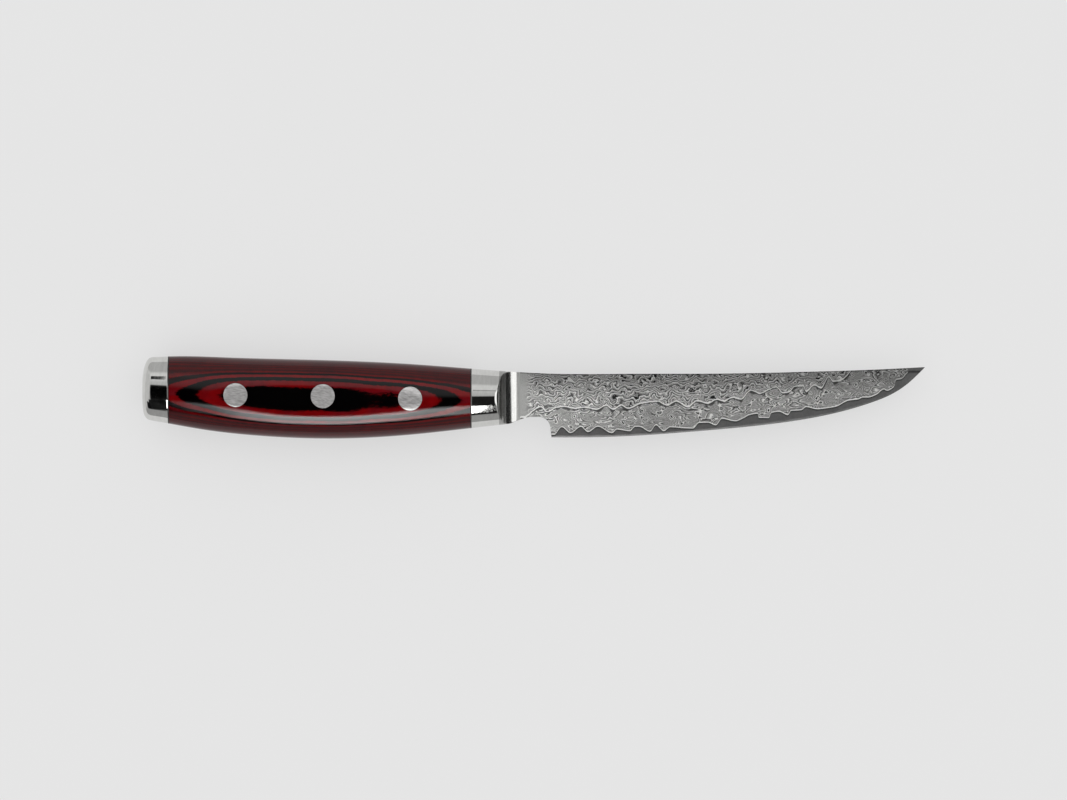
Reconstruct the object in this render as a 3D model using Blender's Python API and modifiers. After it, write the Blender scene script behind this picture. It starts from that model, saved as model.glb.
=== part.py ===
"""A steak knife with a laminated blade, a full tang, riveted scales, a steel bolster and an end cap.

The knife lies on its left side. +X runs from the butt to the point, +Y from the edge to the spine,
and +Z is the knife's right side. Shapes are built in the knife's own frame, whose x is the distance
from the butt, whose y is the height over the handle's axis and whose z is the distance from the
middle plane of the blade. One empty carries them all to the place where the knife rests.
"""

import math
from collections import namedtuple

import bmesh
import bpy
import numpy as np
from mathutils import Matrix, Vector

MM = 0.001

# Lengths along the knife, from the butt to the point
CAP_LENGTH = 7.9 * MM
SCALE_SPAN = 91.8 * MM
BOLSTER_LENGTH = 14.7 * MM
NECK_LENGTH = 9.55 * MM
EDGE_LENGTH = 113.05 * MM

CAP_FRONT = CAP_LENGTH
BOLSTER_BACK = CAP_FRONT + SCALE_SPAN
BOLSTER_FRONT = BOLSTER_BACK + BOLSTER_LENGTH
HEEL = BOLSTER_FRONT + NECK_LENGTH
POINT = HEEL + EDGE_LENGTH

# The top line of handle and blade: distance from the butt, height over the handle's axis
TOP_LINE = (
    (0.0, 9.6 * MM),
    (0.2 * CAP_LENGTH, 11.6 * MM),
    (0.5 * CAP_LENGTH, 12.3 * MM),
    (CAP_FRONT, 12.45 * MM),
    (CAP_FRONT + 0.2 * SCALE_SPAN, 12.12 * MM),
    (CAP_FRONT + 0.45 * SCALE_SPAN, 11.5 * MM),
    (CAP_FRONT + 0.8 * SCALE_SPAN, 10.15 * MM),
    (BOLSTER_BACK, 8.75 * MM),
    (BOLSTER_BACK + 0.8 * BOLSTER_LENGTH, 7.85 * MM),
    (HEEL, 7.2 * MM),
    (HEEL + 0.2 * EDGE_LENGTH, 7.15 * MM),
    (HEEL + 0.45 * EDGE_LENGTH, 7.22 * MM),
    (HEEL + 0.7 * EDGE_LENGTH, 7.82 * MM),
    (HEEL + 0.87 * EDGE_LENGTH, 8.45 * MM),
    (POINT, 9.2 * MM),
)
# The belly of the handle, as it would run on to the bolster's front
HANDLE_BELLY = (
    (0.0, -6.5 * MM),
    (CAP_FRONT, -7.9 * MM),
    (CAP_FRONT + 0.13 * SCALE_SPAN, -9.95 * MM),
    (CAP_FRONT + 0.29 * SCALE_SPAN, -11.55 * MM),
    (CAP_FRONT + 0.49 * SCALE_SPAN, -12.45 * MM),
    (CAP_FRONT + 0.8 * SCALE_SPAN, -11.3 * MM),
    (BOLSTER_BACK, -9.3 * MM),
    (BOLSTER_FRONT, -7.65 * MM),
)
# The cutting edge, from the heel to the point
EDGE_LINE = (
    (HEEL, -12.1 * MM),
    (HEEL + 0.14 * EDGE_LENGTH, -11.98 * MM),
    (HEEL + 0.4 * EDGE_LENGTH, -10.15 * MM),
    (HEEL + 0.6 * EDGE_LENGTH, -7.9 * MM),
    (HEEL + 0.73 * EDGE_LENGTH, -5.5 * MM),
    (HEEL + 0.86 * EDGE_LENGTH, -1.45 * MM),
    (HEEL + 0.956 * EDGE_LENGTH, 4.3 * MM),
    (POINT, 9.05 * MM),
)

# The neck between bolster and heel, and the choil that turns down into the heel
NECK_BOTTOM = -5.9 * MM
NECK_RISE_START = 3.9 * MM  # behind the bolster's front
NECK_RISE_END = 3.6 * MM  # ahead of the bolster's front
CHOIL_RADIUS = 3.6 * MM
HEEL_SLANT = 0.3 * MM

# The oval handle: its crown runs level along the swell and falls away in an arc at each end of it.
# Along the swell the crown is cut to a narrow flat land
HANDLE_THICKNESS = 16.6 * MM
SWELL_START = 23.1 * MM  # ahead of the end cap
SWELL_END = 29.8 * MM  # behind the bolster
REAR_CROWN_RADIUS = 361.0 * MM
FRONT_CROWN_RADIUS = 650.0 * MM
LAND_DEPTH = 0.15 * MM
LAND_LEVEL = HANDLE_THICKNESS / 2 - LAND_DEPTH

# The power of the oval: an ellipse at cap and bolster, with flatter sides where the hand holds it
ELLIPSE_POWER = 2.0
FULL_POWER = 3.0
FULLNESS_START = 8.0 * MM  # ahead of the end cap
FULLNESS_PEAK = 40.0 * MM  # ahead of the end cap
FULLNESS_FALL = 45.8 * MM  # behind the bolster
FULLNESS_END = 4.7 * MM  # behind the bolster

# The blade's steel: a hard core between two layers of cladding, ground to a wedge
STOCK_THICKNESS = 2.0 * MM
POINT_THICKNESS = 0.4 * MM
EDGE_THICKNESS = 0.3 * MM
CORE_THICKNESS = 0.44 * MM
MICRO_BEVEL = 0.4 * MM
CLADDING_END = 0.02 * MM  # the cladding's thickness at the spine where it runs out before the point
GRIND_START = 12.5 * MM  # behind the bolster's front
GRIND_END = 1.5 * MM  # behind the bolster's front

# The tang's tail, which the end cap takes in
TAIL_LENGTH = 4.0 * MM
TAIL_HEIGHT = 9.0 * MM

# The bolster's scoop, a hollow whose axis lies across the blade
SCOOP_RADIUS = 6.3 * MM
BOLSTER_LIP = 0.15 * MM

# The end cap's rounding towards its flat butt
CAP_ROUND_LENGTH = 3.5 * MM
CAP_ROUND_POWER = 4.0
BUTT_SHARE = 0.42

# The adhesive film under each scale, and its lips at cap and bolster
FILM_THICKNESS = 0.15 * MM
LIP_THICKNESS = 0.25 * MM

# Two-part rivets: each has a head with a tube, and a head with a pin that fills the tube
FIRST_RIVET = 20.5 * MM  # ahead of the end cap
RIVET_PITCH = 26.4 * MM
RIVET_HEIGHTS = {"rear": 0.7 * MM, "middle": 0.4 * MM, "front": -0.35 * MM}
HEAD_DIAMETER = 7.25 * MM
HEAD_DEPTH = 2.2 * MM  # under the thickest part of the handle
TUBE_DIAMETER = 5.0 * MM
PIN_DIAMETER = 3.0 * MM
TUBE_REACH = 3.5 * MM  # past the blade's middle plane
PIN_REACH = 4.0 * MM  # past the blade's middle plane

# Fits
BOND_GAP = 0.02 * MM
PIN_CLEARANCE = 0.06 * MM
TUBE_CLEARANCE = 0.1 * MM
HEAD_CLEARANCE = 0.05 * MM
CUT_MARGIN = 2.0 * MM
MERGE_DISTANCE = 0.001 * MM

# How finely the curved shapes are divided
OVAL_STEPS = 18
SIDE_SHARES = (0.0, 0.25, 0.5, 0.75, 1.0)
ROUND_STEPS = 32
HANDLE_STEPS = 20
BLADE_STEPS = 30
ARC_STEPS = 8
SMOOTH_ANGLE = math.radians(30.0)

STEEL = (0.42, 0.42, 0.41)
CORE_STEEL = (0.20, 0.20, 0.20)
POLISHED = (0.62, 0.62, 0.60)
LAMINATE = (0.16, 0.01, 0.015)
ADHESIVE = (0.01, 0.008, 0.008)

Cut = namedtuple("Cut", "at low high bevel")


def smooth_line(points):
    """A natural cubic spline through (distance, height) points, as a function of the distance."""
    at, heights = np.array(points, dtype=float).T
    gaps = np.diff(at)
    slopes = np.diff(heights) / gaps
    system = np.eye(len(at))
    bends = np.zeros(len(at))
    for i in range(1, len(at) - 1):
        system[i, i - 1 : i + 2] = gaps[i - 1], 2.0 * (gaps[i - 1] + gaps[i]), gaps[i]
        bends[i] = 6.0 * (slopes[i] - slopes[i - 1])
    bends = np.linalg.solve(system, bends)

    def height(x):
        i = int(np.clip(np.searchsorted(at, x) - 1, 0, len(gaps) - 1))
        after = x - at[i]
        before = at[i + 1] - x
        cubic = (bends[i] * before**3 + bends[i + 1] * after**3) / (6.0 * gaps[i])
        start = heights[i] / gaps[i] - bends[i] * gaps[i] / 6.0
        end = heights[i + 1] / gaps[i] - bends[i + 1] * gaps[i] / 6.0
        return float(cubic + start * before + end * after)

    return height


top_line = smooth_line(TOP_LINE)
handle_belly = smooth_line(HANDLE_BELLY)
edge_line = smooth_line(EDGE_LINE)


def eased(x, start, end):
    """How far x has come from start to end, from 0 to 1, with a smooth start and finish."""
    share = min(max((x - start) / (end - start), 0.0), 1.0)
    return share * share * (3.0 - 2.0 * share)


def bottom_line(x):
    """The lower outline of handle, neck and blade."""
    if x >= HEEL:
        return edge_line(x)
    arc_end = HEEL - HEEL_SLANT
    arc_start = arc_end - CHOIL_RADIUS
    if x > arc_start:
        run = min(x, arc_end) - arc_start
        arc = NECK_BOTTOM - CHOIL_RADIUS + math.sqrt(max(CHOIL_RADIUS**2 - run**2, 0.0))
        share = max(x - arc_end, 0.0) / HEEL_SLANT
        return arc + (edge_line(HEEL) - arc) * share
    rise = eased(x, BOLSTER_FRONT - NECK_RISE_START, BOLSTER_FRONT + NECK_RISE_END)
    belly = handle_belly(min(x, BOLSTER_FRONT))
    return belly + (NECK_BOTTOM - belly) * rise


def crown(x):
    """Half the handle's thickness, before its land is cut."""
    behind = max(CAP_FRONT + SWELL_START - x, 0.0)
    ahead = max(x - (BOLSTER_BACK - SWELL_END), 0.0)
    drop = behind**2 / (2.0 * REAR_CROWN_RADIUS) + ahead**2 / (2.0 * FRONT_CROWN_RADIUS)
    return HANDLE_THICKNESS / 2 - drop


def oval_power(x):
    """The power of the oval here."""
    rise = eased(x, CAP_FRONT + FULLNESS_START, CAP_FRONT + FULLNESS_PEAK)
    fall = eased(x, BOLSTER_BACK - FULLNESS_FALL, BOLSTER_BACK - FULLNESS_END)
    return ELLIPSE_POWER + (FULL_POWER - ELLIPSE_POWER) * rise * (1.0 - fall)


def spine_half(x):
    """Half the blade's thickness at its spine, which tapers from the bolster to the point."""
    share = max(x - BOLSTER_FRONT, 0.0) / (POINT - BOLSTER_FRONT)
    return (STOCK_THICKNESS + (POINT_THICKNESS - STOCK_THICKNESS) * share) / 2


def grind_share(x):
    """How much of the wedge is ground here: none in the tang, all of it ahead of the bolster."""
    return eased(x, BOLSTER_FRONT - GRIND_START, BOLSTER_FRONT - GRIND_END)


def blade_half(x, y):
    """Half the thickness of tang and blade, a wedge from the spine down to the edge."""
    low = edge_line(max(x, HEEL))
    share = (y - low) / (top_line(x) - low)
    wedge = EDGE_THICKNESS / 2 + (spine_half(x) - EDGE_THICKNESS / 2) * share
    return spine_half(x) + (wedge - spine_half(x)) * grind_share(x)


def height_of_half(x, half):
    """The height at which the wedge is as thick as this, or the bottom line where it never is."""
    low = bottom_line(x)
    if blade_half(x, low) >= half:
        return low
    top = top_line(x)
    share = (half - blade_half(x, low)) / (blade_half(x, top) - blade_half(x, low))
    return low + (top - low) * min(share, 1.0)


def oval(x, base):
    """Points (y, z) of the handle's right half, from the spine to the belly, over a base plane."""
    top = top_line(x)
    bottom = bottom_line(x)
    tang = STOCK_THICKNESS / 2
    swell = crown(x) - tang
    power = oval_power(x)
    start = math.acos((1.0 - ((base - tang) / swell) ** 2) ** (1.0 / power))
    points = []
    for turn in np.linspace(start, math.pi - start, OVAL_STEPS + 1):
        y = (top + bottom) / 2 + (top - bottom) / 2 * math.cos(turn)
        rise = math.sqrt(max(1.0 - abs(math.cos(turn)) ** power, 0.0))
        points.append((y, min(tang + swell * rise, LAND_LEVEL)))
    return points


def spread(start, end, steps):
    """Evenly spaced distances, both ends included."""
    return [float(x) for x in np.linspace(start, end, steps + 1)]


def bolster_stations():
    """Distances of the bolster's sections, closest together where its scoop is steepest."""
    solid = spread(BOLSTER_BACK, BOLSTER_FRONT - SCOOP_RADIUS, 4)
    turns = np.linspace(math.pi / 2, 0.0, ARC_STEPS + 1)[1:]
    return solid + [BOLSTER_FRONT - SCOOP_RADIUS * math.sin(turn) for turn in turns]


def blade_cuts():
    """Sections through tang and blade, each with its lower and upper height and its edge bevel."""
    arc_start = HEEL - HEEL_SLANT - CHOIL_RADIUS
    turns = np.linspace(0.0, math.pi / 2, ARC_STEPS + 1)
    plain = spread(CAP_FRONT - TAIL_LENGTH, BOLSTER_BACK, HANDLE_STEPS)[:-1] + bolster_stations()
    plain += spread(BOLSTER_FRONT, arc_start, 4)[1:-1]
    plain += [arc_start + CHOIL_RADIUS * math.sin(turn) for turn in turns] + [HEEL]
    cuts = [Cut(x, bottom_line(x), top_line(x), 0.0) for x in plain]
    for turn in np.linspace(0.0, math.pi / 2, BLADE_STEPS + 1):
        x = HEEL + EDGE_LENGTH * math.sin(turn)
        low = edge_line(x)
        bevel = min(MICRO_BEVEL, (top_line(x) - low) / 2)
        cuts.append(Cut(x, low, top_line(x), bevel))
    return cuts


def loft(name, rings):
    """A closed solid through rings of points that all have the same count."""
    bm = bmesh.new()
    loops = [[bm.verts.new(point) for point in ring] for ring in rings]
    for near, far in zip(loops, loops[1:]):
        for i, corner in enumerate(near):
            after = (i + 1) % len(near)
            bm.faces.new((corner, near[after], far[after], far[i]))
    bm.faces.new(loops[0][::-1])
    bm.faces.new(loops[-1])
    bmesh.ops.remove_doubles(bm, verts=bm.verts, dist=MERGE_DISTANCE)
    bmesh.ops.dissolve_degenerate(bm, edges=bm.edges, dist=MERGE_DISTANCE)
    bmesh.ops.recalc_face_normals(bm, faces=bm.faces)
    mesh = bpy.data.meshes.new(name)
    bm.to_mesh(mesh)
    bm.free()
    return bpy.data.objects.new(name, mesh)


def turned(name, profile):
    """A solid turned about its own Z from (radius, z) points that run down its outer side."""
    mesh = bpy.data.meshes.new(name)
    points = [(radius, 0.0, z) for radius, z in profile]
    mesh.from_pydata(points, [(i, i + 1) for i in range(len(points) - 1)], [])
    piece = bpy.data.objects.new(name, mesh)
    screw = piece.modifiers.new("Turn", "SCREW")
    screw.steps = ROUND_STEPS
    screw.render_steps = ROUND_STEPS
    screw.use_merge_vertices = True
    screw.merge_threshold = MERGE_DISTANCE
    return piece


def boolean(piece, cutter, operation="DIFFERENCE"):
    """Cuts a piece with a solid, or keeps what the two share."""
    cut = piece.modifiers.new(cutter.name, "BOOLEAN")
    cut.operation = operation
    cut.object = cutter
    cut.solver = "EXACT"


def mirrored(rings):
    """The same rings on the left side of the blade."""
    return [[(x, y, -z) for x, y, z in ring] for ring in rings]


def core_rings():
    """Sections of the hard core: flat between the claddings, then ground down to the edge."""
    flat = CORE_THICKNESS / 2
    rings = []
    for cut in blade_cuts():
        shoulder = cut.low + cut.bevel
        knee = min(max(height_of_half(cut.at, flat), shoulder), cut.high)
        side = [(y, min(flat, blade_half(cut.at, y))) for y in (shoulder, knee, cut.high)]
        right = [(cut.at, y, z) for y, z in side]
        left = [(cut.at, y, -z) for y, z in reversed(side)]
        rings.append([(cut.at, cut.low, 0.0)] + right + left)
    return rings


def cladding_rings():
    """Sections of the right cladding, which thins out above the edge and before the point."""
    inner = CORE_THICKNESS / 2 + BOND_GAP
    taper = (STOCK_THICKNESS - POINT_THICKNESS) / 2 / (POINT - BOLSTER_FRONT)
    last = BOLSTER_FRONT + (STOCK_THICKNESS / 2 - inner - CLADDING_END) / taper
    cuts = [cut for cut in blade_cuts() if cut.at < last]
    cuts = [cut for cut in cuts if cut.at < HEEL or cut.bevel > 0.0]
    cuts.append(Cut(last, bottom_line(last), top_line(last), MICRO_BEVEL))
    rings = []
    for cut in cuts:
        low = max(cut.low, height_of_half(cut.at, inner))
        heights = [low + (cut.high - low) * share for share in SIDE_SHARES]
        outer = [(cut.at, y, max(blade_half(cut.at, y), inner)) for y in heights]
        rings.append(outer + [(cut.at, cut.high, inner), (cut.at, low, inner)])
    return rings


def scale_rings():
    """Sections of the right scale, from its flat inner face out to the oval."""
    base = STOCK_THICKNESS / 2 + FILM_THICKNESS + 2 * BOND_GAP
    inset = LIP_THICKNESS + 2 * BOND_GAP
    stations = spread(CAP_FRONT + inset, BOLSTER_BACK - inset, HANDLE_STEPS)
    return [[(x, y, z) for y, z in oval(x, base)] for x in stations]


def adhesive_rings():
    """Sections of the right film: a lip up to the oval at each end, and a thin bed between."""
    base = STOCK_THICKNESS / 2 + BOND_GAP
    bed = base + FILM_THICKNESS
    rear = CAP_FRONT + BOND_GAP
    front = BOLSTER_BACK - BOND_GAP
    sections = [(rear, False), (rear + LIP_THICKNESS, False)]
    sections += [(x, True) for x in spread(rear + LIP_THICKNESS, front - LIP_THICKNESS, HANDLE_STEPS)]
    sections += [(front - LIP_THICKNESS, False), (front, False)]
    rings = []
    for x, thin in sections:
        limit = bed if thin else LAND_LEVEL
        rings.append([(x, y, min(z, limit)) for y, z in oval(x, base)])
    return rings


def bolster_rings():
    """Sections of the right half: the oval, hollowed by the scoop, over the ground blade."""
    rings = []
    for x in bolster_stations():
        ahead = min(BOLSTER_FRONT - x, SCOOP_RADIUS)
        rise = SCOOP_RADIUS - math.sqrt(SCOOP_RADIUS**2 - ahead**2)
        whole = BOLSTER_FRONT - x > SCOOP_RADIUS
        outer = []
        for y, z in oval(x, STOCK_THICKNESS / 2 + BOND_GAP):
            scoop = blade_half(x, y) + BOND_GAP + BOLSTER_LIP + rise
            outer.append((x, y, z if whole else min(z, scoop)))
        low = bottom_line(x)
        heights = [low + (top_line(x) - low) * share for share in SIDE_SHARES]
        rings.append(outer + [(x, y, blade_half(x, y) + BOND_GAP) for y in heights])
    return rings


def whole_oval(x, share):
    """A full section of the handle, drawn in about its middle by a share."""
    half = oval(x, STOCK_THICKNESS / 2)
    middle = (top_line(x) + bottom_line(x)) / 2
    ring = half + [(y, -z) for y, z in reversed(half)]
    return [(x, middle + (y - middle) * share, z * share) for y, z in ring]


def cap_rings():
    """Sections of the end cap, from its rounded butt to its flat front."""
    first = CAP_ROUND_LENGTH * (1.0 - (1.0 - BUTT_SHARE**CAP_ROUND_POWER) ** (1 / CAP_ROUND_POWER))
    rings = []
    for share in np.linspace(0.0, 1.0, ARC_STEPS + 1):
        x = first + (CAP_ROUND_LENGTH - first) * share**2
        left = 1.0 - x / CAP_ROUND_LENGTH
        drawn = (1.0 - left**CAP_ROUND_POWER) ** (1 / CAP_ROUND_POWER)
        rings.append(whole_oval(x - first, drawn))
    for x in spread(CAP_ROUND_LENGTH - first, CAP_FRONT, 3)[1:]:
        rings.append(whole_oval(x, 1.0))
    return rings


def box(name, near, far):
    """A box between two opposite corners."""
    near, far = Vector(near), Vector(far)
    bm = bmesh.new()
    bmesh.ops.create_cube(bm, size=1.0, matrix=Matrix.LocRotScale((near + far) / 2, None, far - near))
    mesh = bpy.data.meshes.new(name)
    bm.to_mesh(mesh)
    bm.free()
    return bpy.data.objects.new(name, mesh)


def tail_heights(gap):
    """The lower and upper height of the tang's tail, with a gap added at each."""
    middle = (top_line(CAP_FRONT) + bottom_line(CAP_FRONT)) / 2
    return middle - TAIL_HEIGHT / 2 - gap, middle + TAIL_HEIGHT / 2 + gap


def tail_slot():
    """The slot in the end cap that takes the tang's tail."""
    low, high = tail_heights(BOND_GAP)
    half = STOCK_THICKNESS / 2 + BOND_GAP
    start = CAP_FRONT - TAIL_LENGTH - BOND_GAP
    return box("tail_slot", (start, low, -half), (CAP_FRONT + CUT_MARGIN, high, half))


def tail_shoulders():
    """What is cut away below and above the tang's tail, behind the tang's shoulders."""
    low, high = tail_heights(0.0)
    start = CAP_FRONT - TAIL_LENGTH - CUT_MARGIN
    end = CAP_FRONT + BOND_GAP
    reach = HANDLE_THICKNESS
    yield box("lower_shoulder", (start, low - reach, -reach), (end, low, reach))
    yield box("upper_shoulder", (start, high, -reach), (end, high + reach, reach))


def rivet_places():
    """Each rivet's name, distance from the butt and height."""
    for i, (name, height) in enumerate(RIVET_HEIGHTS.items()):
        yield name, CAP_FRONT + FIRST_RIVET + i * RIVET_PITCH, height


def rivet_hole(name, x, y):
    """What a rivet needs clear: a hole right through, with a counterbore at each side."""
    outside = HANDLE_THICKNESS / 2 + CUT_MARGIN
    seat = HANDLE_THICKNESS / 2 - HEAD_DEPTH - BOND_GAP
    head = HEAD_DIAMETER / 2 + HEAD_CLEARANCE
    shank = TUBE_DIAMETER / 2 + TUBE_CLEARANCE
    upper = [(0.0, outside), (head, outside), (head, seat), (shank, seat)]
    hole = turned(f"rivet_{name}_hole", upper + [(radius, -z) for radius, z in reversed(upper)])
    hole.location = (x, y, 0.0)
    return hole


def rivet_male(name, x, y):
    """The right head, with the pin that fills the other half's tube."""
    outside = HANDLE_THICKNESS / 2 + CUT_MARGIN
    seat = HANDLE_THICKNESS / 2 - HEAD_DEPTH
    head = HEAD_DIAMETER / 2
    pin = PIN_DIAMETER / 2
    upper = [(0.0, outside), (head, outside), (head, seat)]
    lower = [(pin, seat), (pin, -PIN_REACH), (0.0, -PIN_REACH)]
    rivet = turned(f"rivet_{name}_male", upper + lower)
    rivet.location = (x, y, 0.0)
    return rivet


def rivet_female(name, x, y):
    """The left head, with its tube."""
    outside = HANDLE_THICKNESS / 2 + CUT_MARGIN
    seat = HANDLE_THICKNESS / 2 - HEAD_DEPTH
    bore = PIN_DIAMETER / 2 + PIN_CLEARANCE
    floor = -PIN_REACH - TUBE_CLEARANCE
    tube = TUBE_DIAMETER / 2
    head = HEAD_DIAMETER / 2
    upper = [(0.0, floor), (bore, floor), (bore, TUBE_REACH), (tube, TUBE_REACH)]
    lower = [(tube, -seat), (head, -seat), (head, -outside), (0.0, -outside)]
    rivet = turned(f"rivet_{name}_female", upper + lower)
    rivet.location = (x, y, 0.0)
    return rivet


def finish(piece, colour, roughness, metallic, collection, frame):
    """Gives a piece its material and its smooth shading, and hangs it on the knife's frame."""
    material = bpy.data.materials.new(piece.name)
    material.use_nodes = True
    shader = material.node_tree.nodes["Principled BSDF"]
    shader.inputs["Base Color"].default_value = (*colour, 1.0)
    shader.inputs["Roughness"].default_value = roughness
    shader.inputs["Metallic"].default_value = metallic
    piece.data.materials.append(material)
    if piece.data.polygons:
        piece.data.shade_smooth()
        piece.data.set_sharp_from_angle(angle=SMOOTH_ANGLE)
    collection.objects.link(piece)
    piece.parent = frame


def hide(cutter, collection, frame):
    """Keeps a cutter out of the render and shows it as wire."""
    collection.objects.link(cutter)
    cutter.parent = frame
    cutter.hide_render = True
    cutter.display_type = "WIRE"


def clear_scene():
    """Removes every object of the scene."""
    for old in list(bpy.data.objects):
        bpy.data.objects.remove(old, do_unlink=True)


def resting_place():
    """Where the knife's frame goes: its outline centred in X and Y, and its left land at Z = 0."""
    stations = spread(CAP_ROUND_LENGTH, POINT, 400)
    highest = max(top_line(x) for x in stations)
    lowest = min(bottom_line(x) for x in stations)
    return (-POINT / 2, -(highest + lowest) / 2, LAND_LEVEL)


def main():
    clear_scene()
    knife = bpy.data.collections.new("steak_knife")
    cutters = bpy.data.collections.new("steak_knife_cutters")
    bpy.context.scene.collection.children.link(knife)
    bpy.context.scene.collection.children.link(cutters)
    frame = bpy.data.objects.new("knife_frame", None)
    frame.location = resting_place()
    knife.objects.link(frame)

    holes = [rivet_hole(*place) for place in rivet_places()]
    slot = tail_slot()
    shoulders = list(tail_shoulders())
    sections = [whole_oval(x, 1.0) for x in spread(CAP_FRONT, BOLSTER_BACK, HANDLE_STEPS)]
    envelope = loft("handle_envelope", sections)
    for cutter in [*holes, slot, *shoulders, envelope]:
        hide(cutter, cutters, frame)

    steel = [
        (loft("blade_core", core_rings()), CORE_STEEL, 0.35, 1.0),
        (loft("cladding_right", cladding_rings()), STEEL, 0.4, 1.0),
        (loft("cladding_left", mirrored(cladding_rings())), STEEL, 0.4, 1.0),
    ]
    for piece, *_ in steel:
        for shoulder in shoulders:
            boolean(piece, shoulder)
    drilled = [
        *steel,
        (loft("adhesive_right", adhesive_rings()), ADHESIVE, 0.5, 0.0),
        (loft("adhesive_left", mirrored(adhesive_rings())), ADHESIVE, 0.5, 0.0),
        (loft("scale_right", scale_rings()), LAMINATE, 0.25, 0.0),
        (loft("scale_left", mirrored(scale_rings())), LAMINATE, 0.25, 0.0),
    ]
    for piece, colour, roughness, metallic in drilled:
        for hole in holes:
            boolean(piece, hole)
        finish(piece, colour, roughness, metallic, knife, frame)

    for name, rings in (("bolster_right", bolster_rings()), ("bolster_left", mirrored(bolster_rings()))):
        finish(loft(name, rings), POLISHED, 0.12, 1.0, knife, frame)

    cap = loft("end_cap", cap_rings())
    boolean(cap, slot)
    finish(cap, POLISHED, 0.12, 1.0, knife, frame)

    for place in rivet_places():
        for rivet in (rivet_male(*place), rivet_female(*place)):
            boolean(rivet, envelope, "INTERSECT")
            finish(rivet, POLISHED, 0.2, 1.0, knife, frame)


main()
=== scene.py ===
"""The finished look of a steak knife with a layered-steel blade and riveted laminate scales.

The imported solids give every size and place. This script lays a fine skin over each of them,
dresses the skins in steel, laminate and adhesive, and sets the knife in plain studio light.

Shapes are worked out in the knife's own frame, in millimetres: x is the distance from the butt,
y the height over the handle's axis and z the distance from the blade's middle plane.
"""

import logging
import math
from collections.abc import Callable
from dataclasses import dataclass, field
from enum import Enum
from functools import cached_property

import bpy
import numpy as np
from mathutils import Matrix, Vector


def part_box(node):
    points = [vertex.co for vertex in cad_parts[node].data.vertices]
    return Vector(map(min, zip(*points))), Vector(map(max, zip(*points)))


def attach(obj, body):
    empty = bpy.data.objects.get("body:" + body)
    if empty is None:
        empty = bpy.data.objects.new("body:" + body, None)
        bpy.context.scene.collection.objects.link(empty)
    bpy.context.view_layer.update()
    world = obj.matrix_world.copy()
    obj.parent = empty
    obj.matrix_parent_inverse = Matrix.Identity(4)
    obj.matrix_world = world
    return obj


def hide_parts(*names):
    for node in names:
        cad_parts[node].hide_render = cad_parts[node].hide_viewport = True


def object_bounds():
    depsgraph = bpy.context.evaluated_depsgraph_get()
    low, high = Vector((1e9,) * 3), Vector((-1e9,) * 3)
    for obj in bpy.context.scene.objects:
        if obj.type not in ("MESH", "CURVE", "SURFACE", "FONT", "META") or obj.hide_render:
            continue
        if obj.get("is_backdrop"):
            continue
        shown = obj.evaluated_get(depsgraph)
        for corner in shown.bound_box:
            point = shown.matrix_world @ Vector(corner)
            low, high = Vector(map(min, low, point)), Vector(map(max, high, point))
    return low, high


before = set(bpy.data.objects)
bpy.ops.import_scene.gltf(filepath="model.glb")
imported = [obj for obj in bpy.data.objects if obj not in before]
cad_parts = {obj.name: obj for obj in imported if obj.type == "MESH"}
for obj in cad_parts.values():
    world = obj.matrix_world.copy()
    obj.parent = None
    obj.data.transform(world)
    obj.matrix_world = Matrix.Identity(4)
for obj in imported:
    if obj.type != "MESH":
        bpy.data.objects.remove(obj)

LOG = logging.getLogger("steak_knife")
MM = 0.001
CREASE_ANGLE = math.radians(32.0)
Pair = tuple[float, float]
Points = tuple[Pair, ...]
Triple = tuple[float, float, float]
Array = np.ndarray
Piece = bpy.types.Object


class Side(Enum):
    """The two sides of the blade, as the sign of z."""

    RIGHT = 1
    LEFT = -1

    @property
    def label(self) -> str:
        """The side's name in small letters."""
        return self.name.lower()


# ---- shapes -------------------------------------------------------------------------------------


class SmoothLine:
    """A natural cubic spline: heights over distances, straight at its two ends."""

    def __init__(self, points: Points) -> None:
        """Sets a slope at each point.

        Args:
            points: (distance, height) pairs in millimetres, in order of distance.
        """
        self.at, self.heights = np.array(points, dtype=float).T
        self.slopes = self.find_slopes(np.diff(self.at), np.diff(self.heights) / np.diff(self.at))

    def find_slopes(self, gaps: Array, rates: Array) -> Array:
        """Solves for the slopes with which the bend runs on through each point and ends at none.

        Args:
            gaps: distances between neighbouring points.
            rates: slopes of the straight lines between them.

        Returns:
            The slope at each point.
        """
        tight, pull = 1.0 / gaps, 3.0 * rates / gaps
        both = np.append(tight, 0.0) + np.insert(tight, 0, 0.0)
        system = np.diag(2.0 * both) + np.diag(tight, 1) + np.diag(tight, -1)
        return np.linalg.solve(system, np.append(pull, 0.0) + np.insert(pull, 0, 0.0))

    def __call__(self, x: Array) -> Array:
        """The height at each distance, on a cubic from slope to slope.

        Args:
            x: distances in millimetres.

        Returns:
            Heights in millimetres.
        """
        i = np.clip(np.searchsorted(self.at, x) - 1, 0, len(self.at) - 2)
        gap = self.at[i + 1] - self.at[i]
        s = (x - self.at[i]) / gap
        swing = s * s * (3.0 - 2.0 * s)
        lead = gap * (self.slopes[i] * s * (1.0 - s) ** 2 - self.slopes[i + 1] * s * s * (1.0 - s))
        return self.heights[i] * (1.0 - swing) + self.heights[i + 1] * swing + lead


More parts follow.
